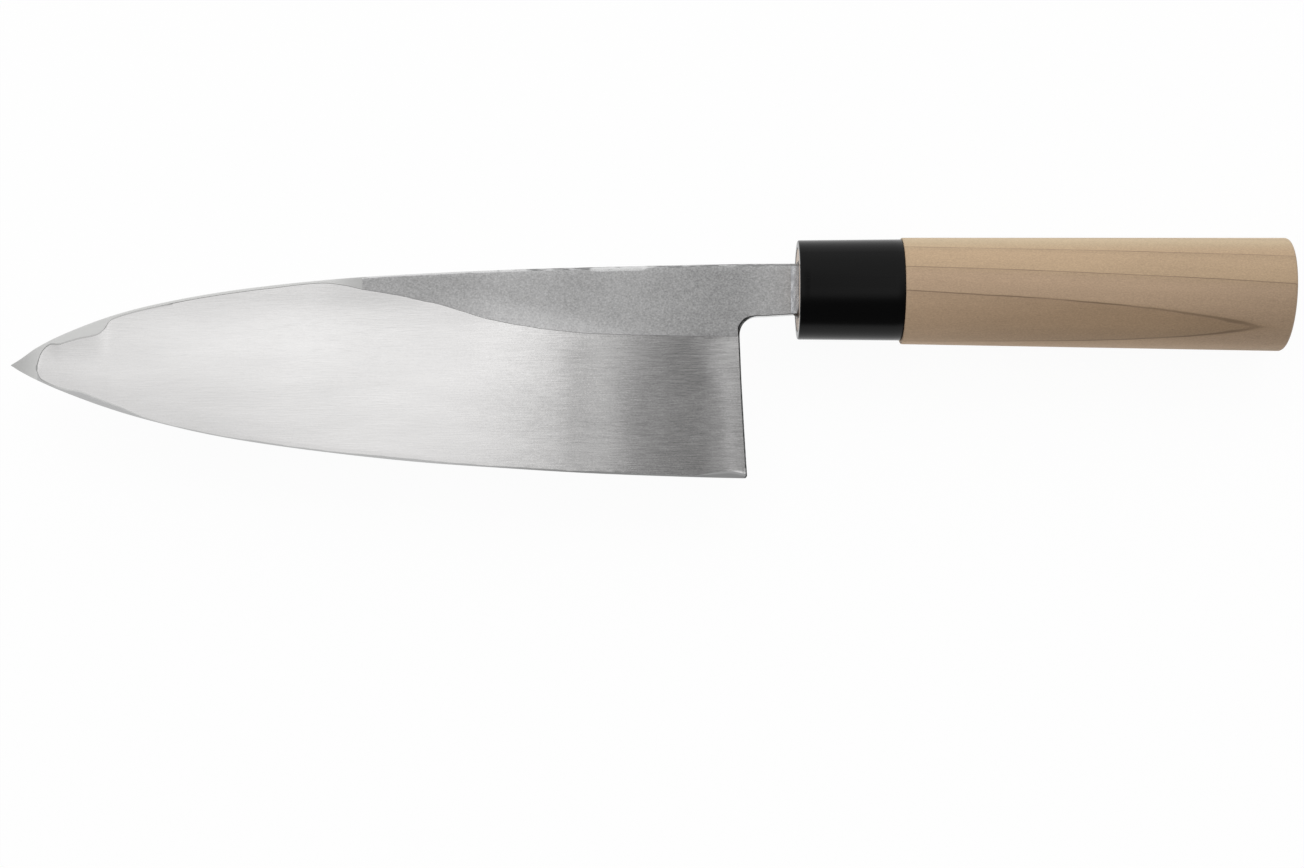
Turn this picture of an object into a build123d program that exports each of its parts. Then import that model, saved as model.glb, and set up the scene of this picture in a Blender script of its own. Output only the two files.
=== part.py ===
from build123d import *
from math import acos, cos, degrees, radians, sin, tan
import os

# Deba knife: a laminated single-bevel blade in a wooden handle with a plastic collar.
#
# Lengths are in millimetres. The knife lies on its side with the hollow-ground back up: X runs from
# the tip to the butt, Y from the edge to the spine and Z from the bevelled side to the back.
# The pieces are laid out from the middle of the collar's front face, on the handle's axis. They are
# moved to the part's origin, under the middle of its box, as they are written.

# Blade, looking at its flat side
edge_length = 210.0
heel_setback = 15.0         # heel corner to the collar
blade_depth = 61.5          # spine at the neck down to the heel corner
tip_drop = 29.2             # spine at the neck down to the tip
neck_rise = 7.4             # spine at the neck above the handle's axis
neck_depth = 14.8
choil_flare = 0.9           # how much deeper the neck grows on its way to the heel
choil_radius = 5.5
heel_rake = 2.0             # heel's top in front of the heel corner

# Blade, looking at its spine
back_height = 4.0           # flat back above the handle's axis
neck_thickness = 8.0
steel_thickness = 2.2
cheek_thinning = 1.0        # cheek at the bevel's ridge against the spine, at the neck
spine_ease = 0.7            # broken corners along the spine, at the neck
neck_ease = 0.6             # broken corners along the heel and under the neck
ease_angle = 45.0
neck_band = 2.2             # end of the flat back in front of the collar
neck_band_step = 0.15       # from there on the neck is dressed this much lower

# Hollow in the back
hollow_depth = 0.5
hollow_step = 0.04          # crisp step down from the flat back at the hollow's border

# Tang
neck_set_in = 4.0           # neck inside the handle
tang_length = 92.0
tang_root_depth = 12.5
tang_root_thickness = 6.6
tang_end_depth = 6.0
tang_end_thickness = 3.6
bedding_gap = 0.8           # resin round the neck and the tang

# Handle
handle_length = 140.0
collar_length = 30.0
collar_front_depth = 28.6
collar_rear_depth = 29.1
collar_width = 26.0
collar_wall = 2.2
collar_fit = 0.05           # gap round the grip's tenon
collar_ease = 0.4
tenon_inset = 0.3           # tenon's end behind the collar's front face
grip_front_depth = 31.0
grip_butt_depth = 32.8
grip_width = 27.2
grip_front_drop = 0.4       # grip's middle below the collar's axis, at the collar
grip_butt_drop = 1.3        # and at the butt
grip_front_ease = 0.5
butt_round = 2.0
butt_slant = 3.5            # degrees, with the top the longer
ridge_radius = 3.0          # soft ridge along the handle's bevel side
ridge_angle = 250.0         # degrees round the section, from the spine side over the back
ridge_reach_share = 1.13    # ridge's sharp corner against the plain oval

# Cutters reach this far past what they cut
overrun = 5.0

# Sections that the blade and its hollow are drawn through, closer together towards the tip
section_count = 32
section_crowding = 1.5

# Outline from the tip to the collar. Each row gives a place along the blade, the spine's drop below
# the neck as a share of the tip's drop, the edge's rise above the heel as a share of the tip's rise,
# the spine's thickness as a share of the neck's, and the bevel's height as a share of the blade's.
outline_shares = [
    (0.000, 0.985, 0.985, 0.07, 0.88),
    (0.012, 0.910, 0.940, 0.15, 0.86),
    (0.032, 0.820, 0.872, 0.25, 0.84),
    (0.063, 0.705, 0.776, 0.33, 0.80),
    (0.114, 0.549, 0.643, 0.42, 0.73),
    (0.164, 0.435, 0.535, 0.50, 0.68),
    (0.240, 0.314, 0.405, 0.58, 0.61),
    (0.317, 0.228, 0.310, 0.64, 0.575),
    (0.418, 0.149, 0.217, 0.71, 0.54),
    (0.520, 0.099, 0.143, 0.78, 0.515),
    (0.621, 0.063, 0.093, 0.84, 0.495),
    (0.723, 0.038, 0.050, 0.89, 0.485),
    (0.824, 0.019, 0.021, 0.935, 0.478),
    (0.933, 0.003, 0.000, 0.975, 0.470),
    (1.000, 0.000, 0.000, 1.00, 0.470),
]

# Border of the hollow. Each row gives a place along the blade and the width of the flat above and
# below the hollow, as shares of the blade's depth there. Towards the neck the upper flat is the area
# that was never ground.
hollow_shares = [
    (0.037, 0.400, 0.110),
    (0.039, 0.310, 0.074),
    (0.042, 0.182, 0.050),
    (0.046, 0.120, 0.043),
    (0.054, 0.126, 0.032),
    (0.063, 0.144, 0.034),
    (0.072, 0.140, 0.062),
    (0.082, 0.140, 0.075),
    (0.101, 0.145, 0.066),
    (0.111, 0.132, 0.061),
    (0.118, 0.100, 0.060),
    (0.124, 0.055, 0.058),
    (0.132, 0.030, 0.052),
    (0.152, 0.024, 0.024),
    (0.170, 0.022, 0.012),
    (0.240, 0.019, 0.011),
    (0.317, 0.017, 0.010),
    (0.395, 0.016, 0.009),
    (0.425, 0.041, 0.009),
    (0.446, 0.076, 0.009),
    (0.496, 0.122, 0.009),
    (0.550, 0.180, 0.009),
    (0.606, 0.253, 0.009),
    (0.642, 0.284, 0.009),
    (0.695, 0.317, 0.009),
    (0.748, 0.333, 0.009),
    (0.856, 0.340, 0.009),
    (0.951, 0.346, 0.009),
]

# Worked out from the sizes above
blade_reach = edge_length + heel_setback
tip_x = -blade_reach
tip_rise = blade_depth - tip_drop
heel_y = neck_rise - blade_depth
neck_foot = neck_rise - neck_depth
choil_y = neck_foot - choil_flare
collar_radius = collar_width / 2
grip_radius = grip_width / 2
grip_front_radius_y = grip_front_depth / 2
grip_butt_radius_y = grip_butt_depth / 2
tang_middle = neck_rise - neck_depth / 2
butt_tilt_reach = grip_butt_radius_y * tan(radians(butt_slant))


def at_run(table, run):
    """Row of a share table at a place between its rows, on a smooth curve through them."""
    runs = [row[0] for row in table]
    last = len(table) - 1
    right = min(max(sum(1 for place in runs if place <= run), 1), last)
    left = right - 1
    span = runs[right] - runs[left]
    step = (run - runs[left]) / span

    def slope(index, column):
        before = max(index - 1, 0)
        after = min(index + 1, last)
        return (table[after][column] - table[before][column]) / (runs[after] - runs[before])

    def value(column):
        start = table[left][column]
        end = table[right][column]
        start_pull = slope(left, column) * span
        end_pull = slope(right, column) * span
        rise = end - start
        cubic = start_pull + end_pull - rise - rise
        square = rise - start_pull - cubic
        return start + step * (start_pull + step * (square + step * cubic))

    return [value(column) for column in range(1, len(table[0]))]


def graded_runs(table):
    """Places for a loft's sections over a table's whole run, closer together towards the tip."""
    first = table[0][0]
    reach = table[-1][0] - first
    steps = [index / section_count for index in range(section_count + 1)]
    return [first + reach * step ** section_crowding for step in steps]


def blade_section(x, row):
    """Blank's section: back, spine with its broken corners, cheek, bevel ridge and edge."""
    drop_share, rise_share, thickness_share, bevel_share = row
    spine_y = neck_rise - tip_drop * drop_share
    edge_y = heel_y + tip_rise * rise_share
    bevel_y = edge_y + bevel_share * (spine_y - edge_y)
    thickness = neck_thickness * thickness_share
    ridge_thickness = (neck_thickness - cheek_thinning) * thickness_share
    ease = spine_ease * thickness_share
    spine_z = back_height - thickness
    ridge_z = back_height - ridge_thickness
    top_z = back_height + overrun
    edge_slide = overrun * (bevel_y - edge_y) / ridge_thickness
    corners = [
        (x, edge_y - edge_slide, top_z),
        (x, bevel_y, ridge_z),
        (x, spine_y - ease, spine_z),
        (x, spine_y, spine_z + ease),
        (x, spine_y, back_height - ease),
        (x, spine_y - ease - overrun, top_z),
    ]
    return make_face(Polyline(*corners, close=True))


def blade_blank():
    """Blade and neck before the heel is cut, from a loft that a flat plane then cuts to the back."""
    runs = graded_runs(outline_shares)
    sections = [blade_section(tip_x + blade_reach * run, at_run(outline_shares, run)) for run in runs]
    sections.append(blade_section(neck_set_in, at_run(outline_shares, 1)))
    blank = loft(sections)
    return split(blank, bisect_by=Plane.XY.offset(back_height), keep=Keep.BOTTOM)


def heel_face():
    """Outline of the space behind the heel and under the neck, with the round choil."""
    heel_slide = overrun * heel_rake / (choil_y - heel_y)
    flare_slide = choil_flare * (neck_set_in + overrun) / heel_setback
    corners = [
        (-heel_setback + heel_slide, heel_y - overrun),
        (-heel_setback - heel_rake, choil_y),
        (neck_set_in + overrun, neck_foot + flare_slide),
        (neck_set_in + overrun, heel_y - overrun),
    ]
    face = make_face(Polyline(*corners, close=True))
    choil = face.vertices().sort_by(Axis.X)[0]
    return fillet(choil, choil_radius)


def heel_cutter():
    """Straight cut along the heel, the choil and the neck, opening out at the flat back."""
    reach = neck_thickness + overrun + overrun
    straight = extrude(Plane.XY.offset(back_height + overrun) * heel_face(), -reach)
    flare_foot = Plane.XY.offset(back_height - neck_ease) * heel_face()
    return straight + extrude(flare_foot, neck_ease + neck_ease, taper=-ease_angle)


def hollow_section(run):
    """Shallow arc across the hollow, carried up past the flat back."""
    upper_share, lower_share = at_run(hollow_shares, run)
    drop_share, rise_share = at_run(outline_shares, run)[:2]
    spine_y = neck_rise - tip_drop * drop_share
    edge_y = heel_y + tip_rise * rise_share
    depth_here = spine_y - edge_y
    upper_y = spine_y - upper_share * depth_here
    lower_y = edge_y + lower_share * depth_here
    depth = hollow_depth * depth_here / blade_depth
    middle = (upper_y + lower_y) / 2
    x = tip_x + blade_reach * run
    border_z = back_height - hollow_step
    lid_z = back_height + overrun
    lower = (x, lower_y, border_z)
    upper = (x, upper_y, border_z)
    arc = Bezier(lower, (x, middle, border_z - depth - depth), upper)
    lid = Polyline(upper, (x, upper_y, lid_z), (x, lower_y, lid_z), lower)
    return make_face(arc + lid)


def hollow_cutter():
    """Ground hollow, from behind the tip out through the heel."""
    return loft([hollow_section(run) for run in graded_runs(hollow_shares)])


def neck_cutter():
    """Shallow cut that lowers the back from just in front of the collar to the neck's end."""
    length = neck_band + neck_set_in + overrun
    depth = neck_depth + choil_flare + overrun + overrun
    corner = (-neck_band, neck_rise + overrun, back_height - neck_band_step)
    return Pos(*corner) * Box(
        length, depth, neck_band_step + overrun, align=(Align.MIN, Align.MAX, Align.MIN)
    )


def blade():
    """Whole blade with its hollow and its broken corners, as one solid."""
    return blade_blank() - heel_cutter() - hollow_cutter() - neck_cutter()


def rectangle_at(x, depth, thickness):
    """Upright rectangle across the tang, on the neck's middle line."""
    section = Plane(origin=(x, tang_middle, 0), x_dir=(0, 1, 0), z_dir=(1, 0, 0))
    return section * Rectangle(depth, thickness)


def tang():
    """Tapered tang behind the neck."""
    root = rectangle_at(neck_set_in, tang_root_depth, tang_root_thickness)
    end = rectangle_at(neck_set_in + tang_length, tang_end_depth, tang_end_thickness)
    return loft([root, end])


def steel_layer(body):
    """Half of the blade on the back's side of the weld."""
    return split(body, bisect_by=Plane.XY.offset(back_height - steel_thickness), keep=Keep.TOP)


def iron_layer(body):
    """Rest of the blade with the tang."""
    iron = split(body, bisect_by=Plane.XY.offset(back_height - steel_thickness), keep=Keep.BOTTOM)
    return iron + tang()


def handle_section(x, drop, radius_y, radius_z):
    """Oval across the handle with a soft ridge low on the bevel side."""
    across = Plane(origin=(x, -drop, 0), x_dir=(0, 1, 0), z_dir=(1, 0, 0))
    spread = degrees(acos(1 / ridge_reach_share))
    leave = ridge_angle + spread
    back = ridge_angle - spread
    stops = [leave - 360, 0, back / 2, back]
    sides = Curve()
    for start, end in zip(stops, stops[1:]):
        sides += EllipticalCenterArc((0, 0), radius_y, radius_z, start, arc_size=end - start)
    ridge_y = ridge_reach_share * radius_y * cos(radians(ridge_angle))
    ridge_z = ridge_reach_share * radius_z * sin(radians(ridge_angle))
    sides += Polyline(sides @ 1, (ridge_y, ridge_z), sides @ 0)
    face = make_face(sides)
    ridge = face.vertices().sort_by_distance((ridge_y, ridge_z))[0]
    return across * fillet(ridge, ridge_radius * radius_y / grip_front_radius_y)


def collar_bore(x, radius_y, gap):
    """Section inside the collar's wall, with a gap for the tenon that fills it."""
    return handle_section(x, 0, radius_y - collar_wall - gap, collar_radius - collar_wall - gap)


def collar():
    """Plastic collar, a little deeper at the grip than at the mouth."""
    front_radius = collar_front_depth / 2
    rear_radius = collar_rear_depth / 2
    outside = loft([
        handle_section(0, 0, front_radius, collar_radius),
        handle_section(collar_length, 0, rear_radius, collar_radius),
    ])
    mouth = outside.edges().group_by(Axis.X)[0]
    outside = chamfer(mouth, collar_ease)
    bore = loft([collar_bore(0, front_radius, 0), collar_bore(collar_length, rear_radius, 0)])
    return outside - bore


def grip_body():
    """Grip behind the collar, with its front corner broken and its slanted butt rounded."""
    past_butt = handle_length + butt_tilt_reach + overrun
    growth_share = (past_butt - collar_length) / (handle_length - collar_length)
    butt_drop = grip_front_drop + (grip_butt_drop - grip_front_drop) * growth_share
    butt_radius_y = grip_front_radius_y + (grip_butt_radius_y - grip_front_radius_y) * growth_share
    body = loft([
        handle_section(collar_length, grip_front_drop, grip_front_radius_y, grip_radius),
        handle_section(past_butt, butt_drop, butt_radius_y, grip_radius),
    ])
    slant = Plane(origin=(handle_length, 0, 0), z_dir=(1, 0, 0)).rotated((0, 0, -butt_slant))
    body = split(body, bisect_by=slant, keep=Keep.BOTTOM)
    body = fillet(body.edges().group_by(Axis.X)[-1], butt_round)
    return chamfer(body.edges().group_by(Axis.X)[0], grip_front_ease)


def tang_hole():
    """Hole for the neck's end and the tang, with room for the bedding round them."""
    gaps = bedding_gap + bedding_gap
    neck_end = neck_set_in + bedding_gap
    mouth = extrude(rectangle_at(0, neck_depth + gaps, neck_thickness + gaps), neck_end)
    tang_end = neck_set_in + tang_length + bedding_gap
    root = rectangle_at(neck_set_in, tang_root_depth + gaps, tang_root_thickness + gaps)
    end = rectangle_at(tang_end, tang_end_depth + gaps, tang_end_thickness + gaps)
    return mouth + loft([root, end])


def grip():
    """Wooden grip with its tenon inside the collar and the hole for the tang."""
    front_radius = collar_front_depth / 2
    rear_radius = collar_rear_depth / 2
    tenon = loft([
        collar_bore(tenon_inset, front_radius, collar_fit),
        collar_bore(collar_length, rear_radius, collar_fit),
    ])
    return grip_body() + tenon - tang_hole()


def bedding(metal):
    """Resin that fills the hole round the neck and the tang, flush with the tenon's end."""
    fill = split(tang_hole(), bisect_by=Plane.YZ.offset(tenon_inset), keep=Keep.TOP)
    return fill - metal


def main():
    """Build each piece, move it to the part's origin and write it."""
    os.makedirs("parts", exist_ok=True)
    whole_blade = blade()
    iron = iron_layer(whole_blade)
    steel = steel_layer(whole_blade)
    pieces = {
        "iron_body": iron,
        "hard_steel_face": steel,
        "ferrule": collar(),
        "wood_grip": grip(),
        "tang_bedding": bedding(iron + steel),
    }
    box = Compound(list(pieces.values())).bounding_box()
    home = Pos(-box.center().X, -box.center().Y, -box.min.Z)
    for name, piece in pieces.items():
        export_step(home * piece, "parts/" + name + ".step")


main()
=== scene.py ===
"""Looks of a deba knife: finely modelled blade, collar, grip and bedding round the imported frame.

The knife lies on its side with the hollow-ground back up. Sizes are in millimetres on the knife's
own axes: X runs from the tip to the butt, Y from the edge to the spine and Z from the bevelled
side to the back. The axes meet where the handle's middle line leaves the collar's front face.
"""

import logging
import math
from dataclasses import dataclass, field, replace
from enum import Enum
from typing import Any, Mapping, Sequence

import bmesh
import bpy
import numpy as np
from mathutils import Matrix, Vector

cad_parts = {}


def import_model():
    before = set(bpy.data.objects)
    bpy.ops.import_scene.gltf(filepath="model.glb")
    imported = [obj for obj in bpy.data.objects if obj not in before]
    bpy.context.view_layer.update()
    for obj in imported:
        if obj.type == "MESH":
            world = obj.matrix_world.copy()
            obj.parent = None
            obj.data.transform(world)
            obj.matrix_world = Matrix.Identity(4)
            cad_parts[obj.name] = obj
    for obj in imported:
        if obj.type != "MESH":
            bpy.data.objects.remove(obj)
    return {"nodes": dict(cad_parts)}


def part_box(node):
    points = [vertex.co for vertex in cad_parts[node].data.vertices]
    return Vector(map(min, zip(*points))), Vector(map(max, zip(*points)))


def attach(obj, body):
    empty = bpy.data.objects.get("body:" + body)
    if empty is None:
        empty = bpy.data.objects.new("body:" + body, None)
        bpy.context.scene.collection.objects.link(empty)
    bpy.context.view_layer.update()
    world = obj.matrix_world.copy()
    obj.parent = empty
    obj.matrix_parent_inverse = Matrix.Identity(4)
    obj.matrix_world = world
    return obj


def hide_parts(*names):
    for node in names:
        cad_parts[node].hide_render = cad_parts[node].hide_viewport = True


MM = 0.001
BODY = "root"
LOG = logging.getLogger("deba_knife")

Array = np.ndarray
Color = tuple[float, float, float]
Sizes = tuple[float, float, float]
Pair = tuple[float, float]


# Shader writing


class Value:
    """Number that changes over a surface. Arithmetic on it adds Math nodes."""

    def __init__(self, shader: "Shader", socket: bpy.types.NodeSocket) -> None:
        """Wrap one output socket of a shader's tree."""
        self.shader = shader
        self.socket = socket

    def math(self, operation: str, *others: "Value | float") -> "Value":
        """Add one Math node.

        Args:
            operation: The Math node's operation.
            others: Second and third operands.

        Returns:
            The node's result.
        """
        return self.shader.math(operation, self, *others)

    def __add__(self, other: "Value | float") -> "Value":
        """Sum."""
        return self.math("ADD", other)

    def __radd__(self, other: float) -> "Value":
        """Sum with a number on the left."""
        return self.math("ADD", other)

    def __sub__(self, other: "Value | float") -> "Value":
        """Difference."""
        return self.math("SUBTRACT", other)

    def __rsub__(self, other: float) -> "Value":
        """Difference from a number on the left."""
        return self.shader.math("SUBTRACT", other, self)

    def __mul__(self, other: "Value | float") -> "Value":
        """Product."""
        return self.math("MULTIPLY", other)

    def __rmul__(self, other: float) -> "Value":
        """Product with a number on the left."""
        return self.math("MULTIPLY", other)

    def __truediv__(self, other: "Value | float") -> "Value":
        """Quotient."""
        return self.math("DIVIDE", other)

    def __rtruediv__(self, other: float) -> "Value":
        """Quotient of a number on the left."""
        return self.shader.math("DIVIDE", other, self)

    def __abs__(self) -> "Value":
        """Size without its sign."""
        return self.math("ABSOLUTE")

    def rise(self, start: float, end: float, low: float = 0.0, high: float = 1.0) -> "Value":
        """Smooth step between two values.

        Args:
            start: Where the step leaves its first level.
            end: Where it reaches its last level.
            low: First level.
            high: Last level.

        Returns:
            The stepped value.
        """
        node = self.shader.node(
            "ShaderNodeMapRange",
            {"interpolation_type": "SMOOTHSTEP"},
            {"Value": self, "From Min": start, "From Max": end, "To Min": low, "To Max": high},
        )
        return Value(self.shader, node.outputs["Result"])

    def within(self, start: float, end: float, softness: float) -> "Value":
        """One between two values and nought outside them, with soft flanks."""
        entered = self.rise(start - softness, start + softness)
        return entered * self.rise(end + softness, end - softness)

    def swing(self, share: float) -> "Value":
        """Turn noise around a half into a change around nought."""
        return (self - 0.5) * share


@dataclass(frozen=True)
class Pattern:
    """Noise pattern of a finish, and the changes that it makes.

    Attributes:
        size_mm: Size of a feature along X, Y and Z, in millimetres.
        detail: Number of finer layers.
        gain: Strength of each finer layer.
        shift: Offset that sets one pattern apart from another.
        turn: Angle of the features' length from X, in degrees.
        tone: Change of tone.
        matt: Change of roughness.
        height_mm: Height of its bump, in millimetres.
        growth: Where along X its tone grows to full strength, in millimetres, and from what.
    """

    size_mm: Sizes
    detail: float = 2.0
    gain: float = 0.5
    shift: float = 0.0
    turn: float = 0.0
    tone: float = 0.0
    matt: float = 0.0
    height_mm: float = 0.0
    growth: tuple[float, float, float] | None = None


class Shader:
    """Node tree of one material or of the world, with short ways to write it."""

    def __init__(self, tree: bpy.types.NodeTree) -> None:
        """Empty the tree."""
        self.tree = tree
        tree.nodes.clear()

    def node(
        self, kind: str, settings: Mapping[str, Any] | None = None,
        sockets: Mapping[str | int, Any] | None = None,
    ) -> bpy.types.Node:
        """Add one node.

        Args:
            kind: The node's type name.
            settings: Properties that are set before the sockets. "stops" holds a ramp's stops.
            sockets: Values, sockets or plain numbers and colours for its inputs, by name or
                index. None leaves an input as it is.

        Returns:
            The node.
        """
        made = self.tree.nodes.new(kind)
        for key, setting in (settings or {}).items():
            if key == "stops":
                self._set_stops(made.color_ramp, setting)
            else:
                setattr(made, key, setting)
        for key, value in (sockets or {}).items():
            if value is None:
                continue
            socket = made.inputs[key]
            if isinstance(value, Value):
                self.tree.links.new(value.socket, socket)
            elif isinstance(value, bpy.types.NodeSocket):
                self.tree.links.new(value, socket)
            elif socket.type == "RGBA" and len(value) == 3:
                socket.default_value = (*value, 1.0)
            else:
                socket.default_value = value
        return made

    @staticmethod
    def _set_stops(ramp: bpy.types.ColorRamp, stops: Sequence[tuple[float, Color]]) -> None:
        """Give a ramp its stops, each a place and a colour."""
        while len(ramp.elements) < len(stops):
            ramp.elements.new(0.5)
        for element, (place, color) in zip(ramp.elements, stops):
            element.position = place
            element.color = (*color, 1.0)

    def math(self, operation: str, *operands: Value | float) -> Value:
        """Add one Math node with these operands."""
        node = self.node("ShaderNodeMath", {"operation": operation}, dict(enumerate(operands)))
        return Value(self, node.outputs[0])

    def position(self) -> bpy.types.NodeSocket:
        """Place on the surface, in metres in the frame."""
        return self.node("ShaderNodeTexCoord").outputs["Object"]

    def axes(self, vector: bpy.types.NodeSocket) -> tuple[Value, Value, Value]:
        """Split a vector into its three numbers."""
        node = self.node("ShaderNodeSeparateXYZ", sockets={"Vector": vector})
        return tuple(Value(self, socket) for socket in node.outputs)

    def stretched(self, pattern: Pattern) -> bpy.types.NodeSocket:
        """Place turned, scaled and shifted so that one unit is one feature of a pattern."""
        place = self.position()
        if pattern.turn:
            place = self.node(
                "ShaderNodeVectorRotate",
                {"rotation_type": "Z_AXIS"},
                {"Vector": place, "Angle": -math.radians(pattern.turn)},
            ).outputs["Vector"]
        scale = tuple(1.0 / (size * MM) for size in pattern.size_mm)
        node = self.node(
            "ShaderNodeVectorMath",
            {"operation": "MULTIPLY_ADD"},
            {0: place, 1: scale, 2: (pattern.shift,) * 3},
        )
        return node.outputs["Vector"]

    def noise(self, pattern: Pattern) -> Value:
        """Noise around a half."""
        node = self.node(
            "ShaderNodeTexNoise",
            {"noise_dimensions": "3D"},
            {
                "Vector": self.stretched(pattern),
                "Scale": 1.0,
                "Detail": pattern.detail,
                "Roughness": pattern.gain,
            },
        )
        return Value(self, node.outputs["Fac"])

    def cells(self, pattern: Pattern) -> Value:
        """Distance to the nearest of scattered points, in features of the pattern's size."""
        node = self.node(
            "ShaderNodeTexVoronoi",
            {"feature": "F1"},
            {"Vector": self.stretched(pattern), "Scale": 1.0},
        )
        return Value(self, node.outputs["Distance"])

    def mix(
        self, share: Value | float, first: bpy.types.NodeSocket | Color,
        second: bpy.types.NodeSocket | Color, blend: str = "MIX",
    ) -> bpy.types.NodeSocket:
        """Mix two colours.

        Args:
            share: Share of the second colour.
            first: First colour.
            second: Second colour.
            blend: The Mix node's blend type.

        Returns:
            The mixed colour.
        """
        node = self.node(
            "ShaderNodeMix",
            {"data_type": "RGBA", "blend_type": blend},
            {"Factor": share, 6: first, 7: second},
        )
        return node.outputs[2]

    def gray(self, value: Value) -> bpy.types.NodeSocket:
        """Colour with this value in all its parts."""
        parts = {"Red": value, "Green": value, "Blue": value}
        return self.node("ShaderNodeCombineColor", sockets=parts).outputs["Color"]

    def toned(self, color: bpy.types.NodeSocket | Color, tone: Value) -> bpy.types.NodeSocket:
        """Colour made lighter or darker by a tone."""
        return self.mix(1.0, color, self.gray(tone), "MULTIPLY")

    def bump(
        self, height: Value, reach_mm: float, normal: bpy.types.NodeSocket | None = None
    ) -> bpy.types.NodeSocket:
        """Bend the normal by a height.

        Args:
            height: Height as a share of the reach.
            reach_mm: Height of one, in millimetres.
            normal: Normal that is bent already.

        Returns:
            The bent normal.
        """
        reach = reach_mm * MM
        sockets = {"Height": height, "Strength": 1.0, "Distance": reach, "Normal": normal}
        return self.node("ShaderNodeBump", sockets=sockets).outputs["Normal"]

    def surface(self, sockets: Mapping[str, Any]) -> None:
        """End a material's tree in a Principled shader with these inputs."""
        shader = self.node("ShaderNodeBsdfPrincipled", sockets=sockets)
        self.node("ShaderNodeOutputMaterial", sockets={"Surface": shader.outputs["BSDF"]})


# Finishes


@dataclass(frozen=True)
class Finish:
    """Finish of a surface. Each kind writes its own node tree."""

    name: str

    def material(self) -> bpy.types.Material:
        """Make the material.

        Returns:
            The material with its node tree.
        """
        made = bpy.data.materials.new(self.name)
        made.use_nodes = True
        self.write(Shader(made.node_tree))
        return made

    def write(self, shader: Shader) -> None:
        """Write the node tree."""
        raise NotImplementedError


@dataclass(frozen=True)
class ToneStep:
    """Change of tone between two places along X, which may go back between two others.

    Attributes:
        start: Where the change begins, in millimetres in the frame.
        end: Where it is complete.
        change: The whole change.
        back: Where it begins to go back, and where it has gone.
    """

    start: float
    end: float
    change: float
    back: Pair | None = None

    def at(self, place_x: Value, place_y: Value) -> Value:
        """The change of tone at a place."""
        share = place_x.rise(self.start * MM, self.end * MM)
        if self.back is not None:
            share = share * place_x.rise(self.back[1] * MM, self.back[0] * MM)
        return share * self.change


@dataclass(frozen=True)
class PaintedHighlightStrip(ToneStep):
    """Painted highlight: change of tone that fades away above a slanted line, given by a point on
    it and a slope.
    """

    width: float = 6.0
    point: Pair = (-63.1, 16.4)
    slope: float = -0.194

    def at(self, place_x: Value, place_y: Value) -> Value:
        """The change of tone at a place."""
        above = place_y / MM - self.point[1] - (place_x / MM - self.point[0]) * self.slope
        return above.rise(self.width, 0.0) * super().at(place_x, place_y)


@dataclass(frozen=True)
class TonePatch:
    """Soft-edged patch that is a little lighter or darker, placed in millimetres in the frame."""

    left: float
    right: float
    low: float
    high: float
    soft_x: float
    soft_y: float
    change: float

    def at(self, place_x: Value, place_y: Value) -> Value:
        """The patch's change of tone at a place."""
        wide = place_x.within(self.left * MM, self.right * MM, self.soft_x * MM)
        high = place_y.within(self.low * MM, self.high * MM, self.soft_y * MM)
        return wide * high * self.change


@dataclass(frozen=True)
class WorkedSurface(Finish):
    """Metal or resin of one colour, under patterns and other changes of tone."""

    color: Color
    roughness: float
    patterns: tuple[Pattern, ...]
    changes: tuple[ToneStep | TonePatch, ...] = ()
    metallic: float = 1.0
    shine: float = 0.5

    def write(self, shader: Shader) -> None:
        """Every pattern where it changes the tone, the roughness or the bump."""
        place_x, place_y, _ = shader.axes(shader.position())
        tone: Value | float = 1.0
        roughness: Value | float = self.roughness
        normal = None
        for pattern in self.patterns:
            noise = shader.noise(pattern)
            if pattern.tone:
                change = noise.swing(pattern.tone)
                if pattern.growth is not None:
                    start, end, faint = pattern.growth
                    change = change * place_x.rise(start * MM, end * MM, faint, 1.0)
                tone = tone + change
            if pattern.matt:
                roughness = roughness + noise.swing(pattern.matt)
            if pattern.height_mm:
                normal = shader.bump(noise, pattern.height_mm, normal)
        for part in self.changes:
            tone = tone + part.at(place_x, place_y)
        shader.surface({
            "Base Color": shader.toned(self.color, tone),
            "Metallic": self.metallic,
            "Roughness": roughness,
            "Specular IOR Level": self.shine,
            "Normal": normal,
        })


@dataclass(frozen=True)
class GroundSteel(WorkedSurface):
    """Steel with fine lengthwise grinding marks, long ripples, and streaks and grit in colour."""

    name: str = "ground_hollow"
    color: Color = (0.662, 0.655, 0.651)
    roughness: float = 0.095
    patterns: tuple[Pattern, ...] = (
        Pattern((7.0, 0.42, 0.42), detail=1.0, shift=7.3, turn=1.2, height_mm=0.0034),
        Pattern((4.0, 0.32, 0.32), gain=0.55, height_mm=0.0058),
        Pattern((5.5, 0.33, 0.33), detail=3.0, gain=0.6, shift=3.1, turn=1.0, tone=0.60,
                matt=0.05, growth=(-66.0, -24.0, 0.22)),
        Pattern((0.425, 0.34, 0.34), gain=0.65, shift=17.0, tone=0.60,
                growth=(-66.0, -24.0, 0.22)),
        Pattern((40.0, 9.0, 9.0), shift=11.0, tone=0.18),
    )


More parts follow.
